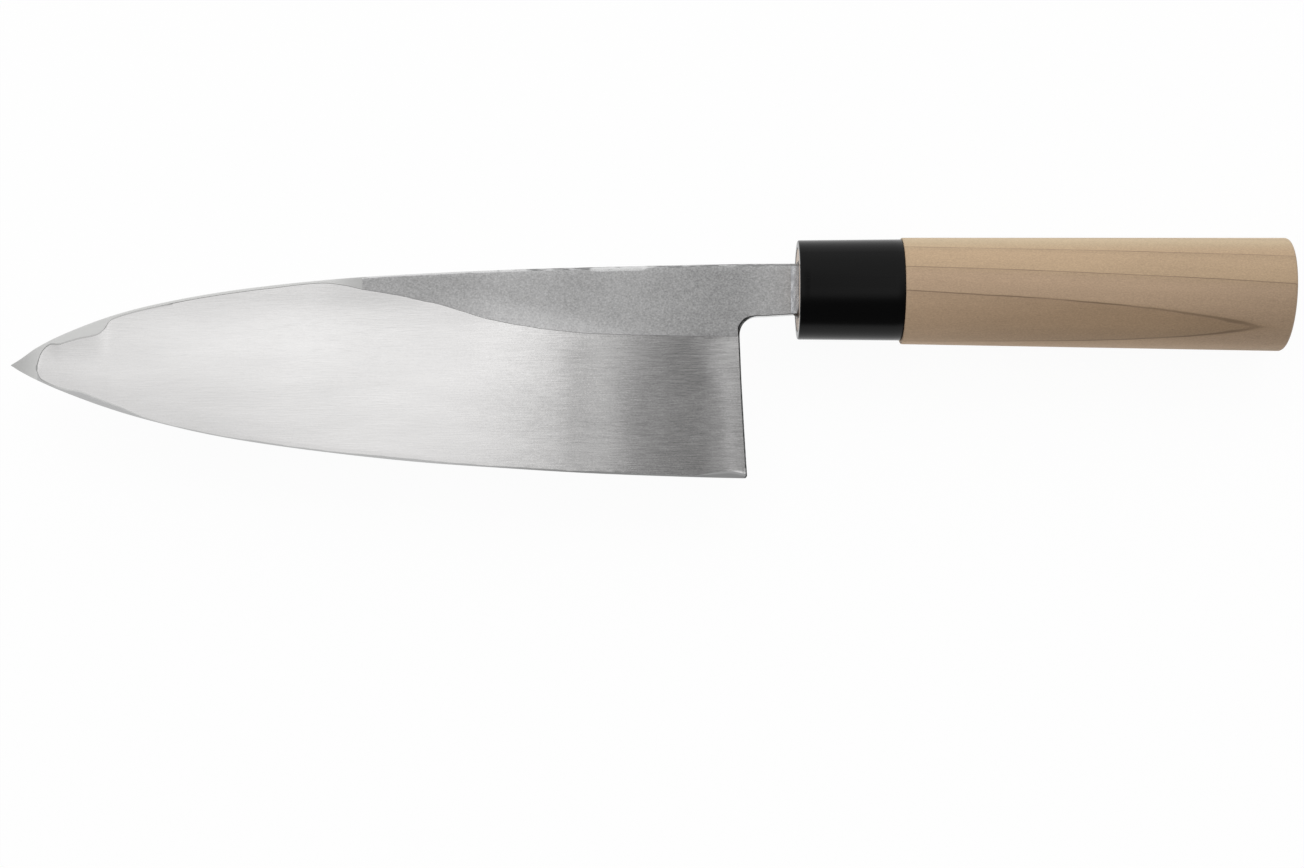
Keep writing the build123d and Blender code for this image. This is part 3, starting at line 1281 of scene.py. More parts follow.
@dataclass
class Blade:
    """Laminated blade: hard steel face with its hollow, and soft iron body with the tang."""

    layout: Layout
    shape: BladeShape = field(default_factory=BladeShape)
    tip_columns: int = 26
    blade_columns: int = 400
    ease_profile: tuple[tuple[float, float], ...] = ((0.5, 0.36), (0.85, 0.72), (1.0, 1.0))
    back_stations: Stations = Stations((3, 1, 44, 1, 12, 3))
    under_stations: Stations = Stations((4, 3, 4, 4, 1))
    iron_stations: Stations = Stations((6, 4, 8, 2))
    tang_length: float = 92.0
    tang_root: tuple[float, float] = (12.5, 6.6)
    tang_end: tuple[float, float] = (6.0, 3.6)
    crisp: float = 0.2
    heel_roll: float = 0.03
    heel_roll_reach: float = 7.0
    unground_share: float = 0.446
    bold_border_end: float = 0.20
    spine_flat: tuple[float, float] = (-62.0, -43.0)
    spine_flat_width: float = 0.75

    def columns(self) -> Array:
        """Places of the grid's columns, closer together at the tip and at the hollow's end.

        Returns:
            Places along X before the heel's lean, up to the start of the heel's eased corner.
        """
        shape = self.shape
        start = shape.hollow_start
        end = -shape.heel_setback - shape.heel_rake - shape.heel_ease
        half = shape.tip_step_width / 2.0
        tip = np.linspace(shape.tip_x, start - half, self.tip_columns)
        steps = np.linspace(0.0, 1.0, self.blade_columns) ** 1.25
        main = start + half + (end - self.crisp - start - half) * steps
        return np.concatenate([tip, main, [end]])

    def spine_ease(self, x: Array) -> tuple[Array, Array]:
        """Width and depth of the uneven eased corner between the back and the spine."""
        size = self.shape.spine_ease * self.shape.thickness_share(x)
        width = size * (1.0 + 0.22 * wander(x, 13.0, 11) + 0.05 * wander(x, 4.0, 12))
        depth = size * (1.0 + 0.15 * wander(x, 9.0, 13) + 0.04 * wander(x, 4.0, 14))
        start, end = self.spine_flat
        width = width + self.spine_flat_width * smooth_step(x, start, start + 5.0) * (
            1.0 - smooth_step(x, end - 1.5, end)
        )
        room = (self.shape.spine(x) - self.upper_border(x)) * 0.7
        return np.minimum(np.maximum(width, 0.12), np.maximum(room, 0.05)), np.maximum(depth, 0.1)

    def lower_border(self, x: Array) -> Array:
        """Height where the rim along the edge ends and the hollow begins."""
        shape = self.shape
        depth = shape.spine(x) - shape.edge(x)
        jitter = 0.09 * wander(x, 5.0, 21) + 0.05 * wander(x, 1.7, 22)
        share = shape.borders.at(shape.run(x), 1)
        quiver = jitter * smooth_step(x, -200.0, -190.0)
        return shape.edge(x) + np.maximum(share * depth + quiver, 0.12)

    def bowl_share(self, x: Array, y: Array) -> Array:
        """Share of the way across the smooth bowl, which doesn't follow its borders' quivers."""
        shape = self.shape
        depth = shape.spine(x) - shape.edge(x)
        low = shape.edge(x) + shape.rim_share * depth
        high = shape.spine(x) - shape.borders.at(shape.run(x), 0) * depth
        return np.clip((y - low) / (high - low), 0.0, 1.0)

    def upper_border(self, x: Array) -> Array:
        """Height where the hollow ends and the flat along the spine begins."""
        shape = self.shape
        depth = shape.spine(x) - shape.edge(x)
        jitter = 0.10 * wander(x, 6.0, 23) + 0.05 * wander(x, 1.9, 24)
        start = shape.tip_x * (1.0 - self.unground_share)
        calm = smooth_step(x, start, start + 12.0)
        return shape.spine(x) - shape.borders.at(shape.run(x), 0) * depth + jitter * calm

    def back_height_at(self, x: Array, y: Array, across: Array) -> Array:
        """Height of the back's surface inside the hollow.

        Args:
            x: Places along the blade.
            y: Heights across the blade.
            across: Share of the way across the hollow.

        Returns:
            Z of the hollow's surface.
        """
        shape = self.shape
        depth = shape.hollow_depth * (shape.spine(x) - shape.edge(x)) / shape.blade_depth
        bowl = depth * 4.0 * across * (1.0 - across)
        high = smooth_step(y, shape.heel_y + 24.0, shape.choil_y - 6.0)
        reach = self.heel_roll_reach * (1.0 + high * 1.4)
        roll = smooth_step(x, shape.heel_x(y) - reach, shape.heel_x(y)) * (1.0 + high * 0.8)
        calm = smooth_step(shape.run(x), 0.1, 0.2) - smooth_step(shape.run(x), 0.88, 0.92)
        step = shape.hollow_step + (shape.low_step - shape.hollow_step) * calm * (1.0 - across)
        return shape.back_height - step - bowl - self.heel_roll * roll

    def back_grid(self) -> Array:
        """Points of the back from the tip to the heel's eased corner."""
        shape = self.shape
        spans, shares = self.back_stations.rows()
        straight = np.repeat(self.columns()[:, None], len(spans), axis=1)
        x, y = straight, np.zeros_like(straight)
        for _ in range(3):
            width, _ = self.spine_ease(x)
            lower, upper = self.lower_border(x), self.upper_border(x)
            step = np.minimum(shape.border_width(x), (upper - lower) * 0.2)
            lines = [
                shape.edge(x), lower, lower + step, upper - step, upper,
                shape.spine(x) - width, shape.spine(x),
            ]
            rounded = np.where(spans == 5, np.sin(shares * math.pi / 2.0), shares)
            y = lay_rows(lines, spans, rounded)
            x = shape.sheared(straight, y)
        ground = straight > shape.hollow_start
        bowl = self.back_height_at(x, y, self.bowl_share(x, y))
        flat = np.full_like(x, shape.back_height)
        inside = (spans == 2) | ((spans == 3) & (shares == 0.0))
        z = np.where(inside[None, :] & ground, bowl, flat)
        _, drop = self.spine_ease(x)
        eased = np.where(spans == 5, 1.0 - np.cos(shares * math.pi / 2.0), 0.0)
        z = z - drop * eased[None, :]
        return np.stack([x, y, z], axis=-1)

    def back_zones(self, points: Array) -> Array:
        """Zone of each quad of the back's grid."""
        spans, _ = self.back_stations.rows()
        middle = (points[:-1, :-1, 0] + points[1:, 1:, 0]) / 2.0
        zones = np.full(middle.shape, SteelZone.HOLLOW.value)
        by_row = np.broadcast_to(spans[:-1], middle.shape)
        unground = middle > self.shape.tip_x * (1.0 - self.unground_share)
        bold = middle < self.shape.tip_x * (1.0 - self.bold_border_end)
        inside = middle > self.shape.hollow_start
        zones[~inside] = SteelZone.RIM.value
        zones[(by_row == 0) & inside] = SteelZone.EDGE_RIM.value
        zones[((by_row == 1) | (by_row == 3)) & bold & inside] = SteelZone.BORDER.value
        zones[self.tip_columns - 1, (spans[:-1] >= 1) & (spans[:-1] <= 3)] = SteelZone.BORDER.value
        zones[(by_row == 4) & ~unground] = SteelZone.RIM.value
        zones[(by_row == 4) & unground] = SteelZone.UNGROUND.value
        zones[by_row == 5] = SteelZone.SPINE_EASE.value
        zones[(by_row == 5) & ~unground] = SteelZone.RIM.value
        zones[(by_row == 1) & (self.shape.run(middle) > 0.872)] = SteelZone.HEEL_STRIP.value
        return zones

    def underside(self, x: Array, y: Array) -> Array:
        """Z of the bevelled side: bevel, cheek and the spine's eased corner."""
        shape = self.shape
        share = shape.thickness_share(x)
        ridge_z = shape.back_height - (shape.neck_thickness - shape.cheek_thinning) * share
        spine_z = shape.back_height - shape.neck_thickness * share
        ease = shape.spine_ease * share
        edge, ridge, inner = shape.edge(x), shape.ridge(x), shape.spine(x) - ease
        bevel = shape.back_height + (ridge_z - shape.back_height) * (y - edge) / (ridge - edge)
        cheek = ridge_z + (spine_z - ridge_z) * (y - ridge) / (inner - ridge)
        corner = spine_z + (y - inner)
        return np.where(y <= ridge, bevel, np.where(y <= inner, cheek, corner))

    def weld(self, x: Array) -> Array:
        """Z of the weld between steel and iron, which wanders a little."""
        drift = 0.07 * wander(x, 16.0, 31) + 0.035 * wander(x, 5.0, 32)
        fade = smooth_step(x, self.shape.tip_x + 8.0, self.shape.tip_x + 30.0)
        return self.shape.back_height - self.shape.steel_thickness + drift * fade

    def weld_line(self, x: Array) -> Array:
        """Height where the weld comes out on the bevelled side."""
        shape = self.shape
        share = shape.thickness_share(x)
        ridge_z = shape.back_height - (shape.neck_thickness - shape.cheek_thinning) * share
        spine_z = shape.back_height - shape.neck_thickness * share
        inner = shape.spine(x) - shape.spine_ease * share
        weld, edge, ridge = self.weld(x), shape.edge(x), shape.ridge(x)
        share = (shape.back_height - weld) / (shape.back_height - ridge_z)
        on_bevel = edge + (ridge - edge) * share
        on_cheek = ridge + (inner - ridge) * (ridge_z - weld) / (ridge_z - spine_z)
        return np.where(ridge_z <= weld, on_bevel, np.clip(on_cheek, ridge, inner))

    def under_grid(self, columns: Array, meet_y: float) -> Array:
        """Points of the steel's underside: its strip of the bevel and the weld.

        Args:
            columns: Places of the columns before the heel's lean.
            meet_y: Height on the heel where the neck's grid starts.

        Returns:
            The points.
        """
        shape = self.shape
        spans, shares = self.under_stations.rows()
        straight = np.repeat(columns[:, None], len(spans), axis=1)
        x, y = straight, np.zeros_like(straight)
        heel = np.array(-shape.heel_setback)
        for _ in range(3):
            inner = shape.spine(x) - shape.spine_ease * shape.thickness_share(x)
            line, ridge = self.weld_line(x), shape.ridge(x)
            first = np.minimum(line, ridge)
            second = np.maximum(np.maximum(line, ridge), first + 0.02)
            second = np.minimum(second, inner - 0.02)
            ridge_y = shape.ridge(heel)
            meet_share = (meet_y - ridge_y) / (shape.neck_rise - shape.spine_ease - ridge_y)
            meet = second + meet_share * (inner - second)
            lines = [shape.edge(x), first, second, meet, inner, shape.spine(x)]
            y = lay_rows(lines, spans, shares)
            x = shape.sheared(straight, y)
        z = np.maximum(self.weld(x), self.underside(x, y))
        return np.stack([x, y, z], axis=-1)

    def neck_columns(self, path: Array, arc_end: int, top_start: float) -> Array:
        """Place along X where each column of the neck's grid meets the spine."""
        share = np.clip(np.arange(len(path)) / arc_end, 0.0, 1.0)
        eased = top_start + (path[arc_end, 0] - top_start) * share
        return np.where(np.arange(len(path)) <= arc_end, eased, path[:, 0])

    def inward(self, path: Array) -> Array:
        """Direction into the metal at each point of the heel's path."""
        ahead = np.gradient(path, axis=0)
        ahead /= np.linalg.norm(ahead, axis=1)[:, None]
        return np.stack([-ahead[:, 1], ahead[:, 0]], axis=1)

    def steel_face(self) -> bpy.types.Object:
        """Build the hard steel face.

        Returns:
            The piece.
        """
        shape, draft = self.shape, MeshDraft()
        points = self.back_grid()
        back = draft.add(points)
        draft.grid(back, self.back_zones(points))
        meet = self.back_stations.first_row(4)
        spans, shares = self.back_stations.rows()

        # Eased corner down the heel
        last = points[-1, : meet + 1]
        heel_x = shape.heel_x(last[:, 1])
        strips = [back[-1, : meet + 1]]
        for outward, downward in self.ease_profile:
            strip = last.copy()
            strip[:, 0] = last[:, 0] + (heel_x - last[:, 0]) * outward
            strip[:, 2] = last[:, 2] - shape.heel_ease_at(last[:, 1]) * downward
            strips.append(draft.add(strip))
        draft.grid(np.stack(strips), SteelZone.HEEL_EASE.value)

        # Neck, from the heel's path up to the spine
        meet_y = float(last[-1, 1])
        path, arc_end = shape.heel_path(meet_y)
        path[0] = (heel_x[-1], meet_y)
        normals = self.inward(path)
        top_x = self.neck_columns(path, arc_end, float(points[-1, -1, 0]))
        width, drop = self.spine_ease(top_x)
        spine = shape.spine(top_x)
        level = np.where(path[:, 0] > -shape.neck_band, shape.back_height - shape.neck_band_step,
                         shape.back_height)
        place = np.arange(len(path))
        ease = shape.heel_ease + shape.choil_ease * smooth_step(place, 2.0, 8.0)
        ease = ease + (shape.neck_ease - ease) * smooth_step(place, arc_end - 10.0, arc_end)
        inner = path + normals * ease[:, None]
        flat = shares[spans == 4]
        rows = []
        for share in flat:
            x = inner[:, 0] + (top_x - inner[:, 0]) * share
            y = inner[:, 1] + (spine - width - inner[:, 1]) * share
            rows.append(np.stack([x, y, level], axis=1))
        for share in np.append(shares[spans == 5], 1.0)[: self.back_stations.counts[5] + 1]:
            turn = share * math.pi / 2.0
            y = spine - width + width * math.sin(turn)
            rows.append(np.stack([top_x, y, level - drop * (1.0 - math.cos(turn))], axis=1))
        neck_points = np.stack(rows, axis=1)
        neck_points[0] = points[-1, meet:]
        neck = draft.add(neck_points)
        count = self.back_stations.counts[4]
        zones = np.full((len(path) - 1, neck_points.shape[1] - 1), SteelZone.UNGROUND.value)
        zones[path[1:, 0] > -shape.neck_band] = SteelZone.NECK_BAND.value
        zones[:, count:] = SteelZone.SPINE_EASE.value
        draft.grid(neck, zones)
        rim = [neck[:, 0]]
        for outward, downward in self.ease_profile:
            strip = np.concatenate([
                inner + (path - inner) * outward,
                (level - ease * downward)[:, None],
            ], axis=1)
            rim.append(draft.add(strip))
        draft.grid(np.stack(rim), SteelZone.HEEL_EASE.value)

        # Underside, then the walls between it and the back
        columns = np.append(self.columns(), -shape.heel_setback - shape.heel_rake)
        under_points = self.under_grid(columns, meet_y)
        under_meet = self.under_stations.first_row(3)
        offset = under_points[-1, under_meet:, 1]
        under = draft.add(under_points)
        draft.grid(under, SteelZone.BEVEL.value)
        shares_up = (offset - offset[0]) / (offset[-1] - offset[0])
        weld = self.weld(path[:, 0])
        foot = np.stack([
            np.stack([
                path[:, 0] + (top_x - path[:, 0]) * share,
                path[:, 1] + (spine - path[:, 1]) * share,
                weld,
            ], axis=1)
            for share in shares_up
        ], axis=1)
        foot[0] = under_points[-1, under_meet:]
        foot_numbers = draft.add(foot)
        draft.grid(foot_numbers, SteelZone.BEVEL.value)
        side = SteelZone.WALL.value
        draft.zip(strips[-1], under[-1, : under_meet + 1], side)
        draft.zip(rim[-1], foot_numbers[:, 0], side)
        draft.zip(np.concatenate([rim[::-1][k][-1:] for k in range(len(rim))] + [neck[-1, 1:]]),
                  foot_numbers[-1], side)
        draft.zip(back[:, -1], under[:-1, -1], side)
        draft.zip(neck[:, -1], np.concatenate([under[-2:-1, -1], foot_numbers[:, -1]]), side)
        draft.zip(back[0], under[0], side)
        return draft.build("hard_steel_layer", self.layout, self.steel_finishes())

    @staticmethod
    def steel_finishes() -> list[Finish]:
        """Finish of each zone of the hard steel, in the zones' order."""
        # Painted highlights: bright patches on the spine's eased corner, near the middle and
        # towards the tip, where the corner catches the light.
        painted_highlights = (ToneStep(-20.0, -14.0, 0.2, back=(-4.0, 2.0)), ToneStep(-34.0, -42.0, 0.2))
        ripples, *others = GroundSteel.patterns
        return [
            # Painted reflection: the hollow's lighter and darker patches copy the studio's
            # reflection, near the heel, in bands across the middle and along the top.
            GroundSteel(changes=(
                TonePatch(20.0, 40.0, 0.0, 14.0, 3.5, 3.5, 0.30),
                TonePatch(19.0, 40.0, -22.0, -10.0, 4.0, 3.0, -0.15),
                TonePatch(-25.0, -17.0, -32.0, 3.0, 3.0, 4.0, -0.10),
                TonePatch(-8.0, 0.0, -31.0, -8.0, 3.0, 4.0, -0.09),
                TonePatch(-130.0, -66.0, 15.5, 30.0, 10.0, 2.5, -0.08),
                TonePatch(-92.0, -62.0, 13.5, 30.0, 6.0, 2.5, -0.07),
                TonePatch(-165.0, -90.0, -7.0, 12.0, 12.0, 4.0, 0.05),
                TonePatch(-135.0, -85.0, -28.0, -9.0, 10.0, 3.0, -0.03),
            )),
            GrainySteel(),
            StonedSteel(changes=(ToneStep(-181.5, -172.0, 0.315, back=(-93.0, -83.0)),)),
            StonedSteel(
                name="edge_rim", color=(0.53,) * 3, changes=(ToneStep(-64.0, -14.0, -0.455),)
            ),
            StonedSteel(
                name="hollow_border", color=(0.42, 0.42, 0.415), roughness=0.4,
                changes=(ToneStep(-176.0, -166.0, 0.60),),
            ),
            PatchySteel(bright_patch=(0.46, 0.64), painted_highlights=painted_highlights),
            # Painted shade: the eased corner round the heel and the choil is near black, standing
            # in for the shade along it.
            PatchySteel(name="heel_corner_painted_shade", dark=(0.05,) * 3, bright=(0.17,) * 3),
            GroundSteel(
                name="bevel_steel", color=(0.6, 0.6, 0.605), roughness=0.16,
                patterns=(replace(ripples, height_mm=0.002), *others),
            ),
            PatchySteel(
                name="neck_band", dark=(0.47, 0.48, 0.50), bright=(0.68, 0.69, 0.71),
                patches=Pattern((0.8, 2.6, 2.6), detail=3.0, gain=0.6),
            ),
            FiledSteel(),
            StonedSteel(name="heel_strip", color=(0.37,) * 3, roughness=0.34),
        ]

    def iron_body(self) -> bpy.types.Object:
        """Build the soft iron body with its tang.

        Returns:
            The piece.
        """
        shape, draft = self.shape, MeshDraft()
        spans, shares = self.iron_stations.rows()
        columns = self.iron_columns()
        straight = np.repeat(columns[:, None], len(spans), axis=1)
        x, y = straight, np.zeros_like(straight)
        heel = np.array(-shape.heel_setback)
        inner_heel = shape.neck_rise - shape.spine_ease
        arc_start_y = shape.choil_y - shape.choil_radius
        meet_share = (arc_start_y - shape.ridge(heel)) / (inner_heel - shape.ridge(heel))
        for _ in range(3):
            share = shape.thickness_share(x)
            inner = shape.spine(x) - shape.spine_ease * share
            line = np.minimum(self.weld_line(x), inner - 0.03)
            ridge = np.maximum(shape.ridge(x), line + 0.01)
            meet = ridge + meet_share * (inner - ridge)
            y = lay_rows([line, ridge, meet, inner, shape.spine(x)], spans, shares)
            x = shape.sheared(straight, y)
        weld = self.weld(x)
        low = np.minimum(self.underside(x, y), weld)
        bottom_points = np.stack([x, y, low], axis=-1)
        top_points = np.stack([x, y, weld], axis=-1)
        bottom, top = draft.add(bottom_points), draft.add(top_points)
        zones = np.full((len(columns) - 1, len(spans) - 1), IronZone.CHEEK.value)
        zones[:, spans[:-1] == 0] = IronZone.BEVEL.value
        zones[:, spans[:-1] == 3] = IronZone.SIDE.value
        draft.grid(bottom, zones)
        draft.grid(top, IronZone.SIDE.value)
        meet_row = self.iron_stations.first_row(2)
        side = IronZone.SIDE.value

        # Neck below the weld
        path, arc_end = shape.heel_path(float(y[-1, meet_row]))
        top_x = self.neck_columns(path, arc_end, float(x[-1, -1]))
        upper = y[-1, meet_row:]
        shares_up = (upper - upper[0]) / (upper[-1] - upper[0])
        spine = shape.spine(top_x)
        neck_x = path[:, :1] + (top_x - path[:, 0])[:, None] * shares_up[None, :]
        neck_y = path[:, 1:] + (spine - path[:, 1])[:, None] * shares_up[None, :]
        neck_weld = self.weld(neck_x)
        neck_low = self.underside(neck_x, neck_y)
        low_points = np.stack([neck_x, neck_y, neck_low], axis=-1)
        high_points = np.stack([neck_x, neck_y, neck_weld], axis=-1)
        low_points[0], high_points[0] = bottom_points[-1, meet_row:], top_points[-1, meet_row:]
        neck_bottom, neck_top = draft.add(low_points), draft.add(high_points)
        neck_zones = np.full((len(path) - 1, len(upper) - 1), IronZone.CHEEK.value)
        neck_zones[:, -self.iron_stations.counts[3]:] = side
        draft.grid(neck_bottom, neck_zones)
        draft.grid(neck_top, side)

        # Walls along the spine, the heel, the path under the neck and the neck's end
        draft.grid(np.stack([bottom[:, -1], top[:, -1]]), side)
        draft.grid(np.stack([bottom[-1, : meet_row + 1], top[-1, : meet_row + 1]]), side)
        draft.grid(np.stack([neck_bottom[:, 0], neck_top[:, 0]]), side)
        draft.grid(np.stack([neck_bottom[:, -1], neck_top[:, -1]]), side)
        draft.grid(np.stack([neck_bottom[-1], neck_top[-1]]), side)
        draft.grid(np.stack([bottom[0], top[0]]), side)
        self.add_tang(draft)
        return draft.build("soft_iron_body", self.layout, self.iron_finishes())

    @staticmethod
    def iron_finishes() -> list[Finish]:
        """Finish of each zone of the soft iron, in the zones' order."""
        haze, layers, marks = HazySteel.patterns
        return [
            HazySteel(),
            HazySteel(
                name="brushed_cheek", color=(0.5,) * 3, roughness=0.3,
                patterns=(replace(haze, tone=0.16), replace(layers, tone=0.08),
                          replace(marks, size_mm=(30.0, 0.3, 0.3))),
            ),
            FiledSteel(),
            HazySteel(name="rough_tang", color=(0.2, 0.17, 0.15), roughness=0.6),
        ]

    def iron_columns(self) -> Array:
        """Places of the iron's columns, from where the weld leaves the spine side."""
        shape = self.shape
        places = np.linspace(shape.tip_x + 4.0, shape.tip_x + 30.0, 4000)
        share = shape.thickness_share(places)
        start_z = shape.back_height - (shape.neck_thickness - shape.spine_ease) * share
        start = float(places[np.argmax(start_z < self.weld(places) - 0.02)])
        end = -shape.heel_setback - shape.heel_rake
        return start + (end - start) * np.linspace(0.0, 1.0, 320) ** 1.15

    def add_tang(self, draft: MeshDraft) -> None:
        """Add the tapered tang with its eased corners, buried in the handle."""
        root_x = self.shape.neck_set_in - 0.5
        end_x = self.shape.neck_set_in + self.tang_length
        middle_y = self.shape.neck_rise - self.shape.neck_depth / 2.0
        rings = []
        for x, size in (
            (root_x, self.tang_root),
            (end_x - 1.0, self.tang_end),
            (end_x, (self.tang_end[0] - 1.4, self.tang_end[1] - 1.4)),
        ):
            section = oblong(size[0], size[1], 0.6, 4)
            along = np.full((len(section), 1), x)
            rings.append(np.concatenate([along, section + (middle_y, 0.0)], axis=1))
        numbers = draft.add(np.stack(rings))
        draft.grid(numbers, IronZone.TANG.value, closed=True)
        draft.cap(numbers[0], IronZone.TANG.value)
        draft.cap(numbers[-1], IronZone.TANG.value)


def oblong(depth: float, thickness: float, radius: float, arc_count: int) -> Array:
    """Rectangle with rounded corners.

    Args:
        depth: Size along Y.
        thickness: Size along Z.
        radius: Radius of the corners.
        arc_count: Points on each corner.

    Returns:
        Its points in the plane of Y and Z.
    """
    points = []
    for corner, start in (((1, 1), 0.0), ((-1, 1), 90.0), ((-1, -1), 180.0), ((1, -1), 270.0)):
        center = (corner[0] * (depth / 2.0 - radius), corner[1] * (thickness / 2.0 - radius))
        for step in range(arc_count):
            angle = math.radians(start + 90.0 * step / (arc_count - 1))
            x, y = radius * math.cos(angle), radius * math.sin(angle)
            points.append((center[0] + x, center[1] + y))
    return np.array(points)


# Handle


@dataclass(frozen=True)
class HandleSection:
    """Oval across the handle with a soft ridge low on the bevelled side, in millimetres."""

    ridge_angle: float = 250.0
    ridge_reach_share: float = 1.13
    ridge_radius: float = 3.0
    full_radius: float = 15.5
    oval_count: int = 116
    ridge_count: int = 13
    flank_count: int = 5

    def points(self, radius_y: float, radius_z: float, drop: float = 0.0) -> Array:
        """Outline of one section.

        Args:
            radius_y: Half of its depth.
            radius_z: Half of its width.
            drop: How far its middle lies below the axis.

        Returns:
            Points in the plane of Y and Z, from the ridge's flank over the back and round.
        """
        spread = math.degrees(math.acos(1.0 / self.ridge_reach_share))
        angles = np.radians(np.linspace(
            self.ridge_angle + spread - 360.0, self.ridge_angle - spread, self.oval_count
        ))
        oval = np.stack([radius_y * np.cos(angles), radius_z * np.sin(angles)], axis=1)
        turn = math.radians(self.ridge_angle)
        reach = self.ridge_reach_share
        corner = np.array([reach * radius_y * math.cos(turn), reach * radius_z * math.sin(turn)])
        radius = self.ridge_radius * radius_y / self.full_radius
        arc = rounded_corner(oval[-1], corner, oval[0], radius, self.ridge_count)
        down = np.linspace(oval[-1], arc[0], self.flank_count + 2)[1:-1]
        up = np.linspace(arc[-1], oval[0], self.flank_count + 2)[1:-1]
        return np.concatenate([oval, down, arc, up]) - (drop, 0.0)

    def ring(self, x: float, radius_y: float, radius_z: float, drop: float = 0.0) -> Array:
        """Section placed along X."""
        section = self.points(radius_y, radius_z, drop)
        return np.concatenate([np.full((len(section), 1), x), section], axis=1)

    def box_ring(self, x: float, depth: float, thickness: float) -> Array:
        """Rectangle with as many points as the section, each facing the same way."""
        section = self.points(self.full_radius, self.full_radius)
        angles = np.arctan2(section[:, 1], section[:, 0])
        half_y, half_z = depth / 2.0, thickness / 2.0
        for corner in (math.atan2(sz * half_z, sy * half_y) for sy in (1, -1) for sz in (1, -1)):
            gap = np.angle(np.exp(1j * (angles - corner)))
            angles[np.argmin(np.abs(gap))] = corner
        reach = np.minimum(
            half_y / np.maximum(np.abs(np.cos(angles)), 1e-9),
            half_z / np.maximum(np.abs(np.sin(angles)), 1e-9),
        )
        along = np.full(len(angles), x)
        return np.stack([along, reach * np.cos(angles), reach * np.sin(angles)], axis=1)


@dataclass(frozen=True)
class HandleShape:
    """Sizes of the collar and the grip, in millimetres."""

    handle_length: float = 140.0
    collar_length: float = 29.75
    collar_front_depth: float = 28.5
    collar_rear_depth: float = 29.05
    collar_width: float = 26.0
    collar_wall: float = 2.2
    collar_fit: float = 0.05
    collar_ease: float = 0.4
    tenon_inset: float = 0.12
    grip_front_depth: float = 30.55
    grip_butt_depth: float = 32.5
    grip_width: float = 27.2
    grip_front_drop: float = 0.3
    grip_butt_drop: float = 1.3
    grip_front_ease: float = 0.3
    butt_round: float = 1.2
    butt_slant: float = 2.6
    butt_reach: float = 0.17
    mouth_depth: float = 16.4
    mouth_thickness: float = 9.6
    mouth_reach: float = 4.8
    hole_reach: float = 96.8
    hole_root: tuple[float, float] = (14.1, 8.2)
    hole_end: tuple[float, float] = (7.6, 5.2)
    section: HandleSection = field(default_factory=HandleSection)

    def collar_radius_y(self, x: float) -> float:
        """Half of the collar's depth at a place along it."""
        share = x / self.collar_length
        growth = self.collar_rear_depth - self.collar_front_depth
        return (self.collar_front_depth + growth * share) / 2.0

    def grip_size(self, x: float) -> tuple[float, float]:
        """Half of the grip's depth and its middle's drop, at a place along it."""
        share = (x - self.collar_length) / (self.handle_length - self.collar_length)
        growth = self.grip_butt_depth - self.grip_front_depth
        radius = (self.grip_front_depth + growth * share) / 2.0
        return radius, self.grip_front_drop + (self.grip_butt_drop - self.grip_front_drop) * share


@dataclass
class Collar:
    """Black plastic collar on the grip's tenon."""

    layout: Layout
    shape: HandleShape = field(default_factory=HandleShape)
    ease_steps: int = 5
    parting_y: float = 2.6

    def build(self) -> bpy.types.Object:
        """Build the collar as one closed wall.

        Returns:
            The piece.
        """
        shape, section, draft = self.shape, self.shape.section, MeshDraft()
        radius_z = shape.collar_width / 2.0
        ease = shape.collar_ease
        stops = []
        for step in range(self.ease_steps + 1):
            turn = math.pi / 2.0 * step / self.ease_steps
            stops.append((ease * (1.0 - math.sin(turn)), ease * (1.0 - math.cos(turn))))
        stops = stops[::-1]
        length = shape.collar_length
        outer = [(x, inset) for x, inset in stops]
        outer += [(length * share, 0.0) for share in (0.1, 0.3, 0.5, 0.7, 0.9)]
        outer += [(length - 0.16, 0.0), (length - 0.05, 0.04), (length, 0.14)]
        rings = [
            section.ring(x, shape.collar_radius_y(x) - inset, radius_z - inset)
            for x, inset in outer
        ]
        wall = shape.collar_wall
        bore = [(length, 0.0), (length / 2.0, 0.0), (0.25, 0.0), (0.0, -0.2)]
        rings += [
            section.ring(x, shape.collar_radius_y(x) - wall - more, radius_z - wall - more)
            for x, more in bore
        ]
        numbers = draft.add(np.stack(rings))
        draft.grid(np.concatenate([numbers, numbers[:1]]), 0, closed=True)
        parting = self.layout.origin.y / MM + self.parting_y
        return draft.build("collar", self.layout, [MouldedPlastic(parting_y_mm=parting)], 28.0)


class GripZone(Enum):
    """Surfaces of the grip."""

    LONG_GRAIN = 0
    END_GRAIN = 1
    TENON = 2


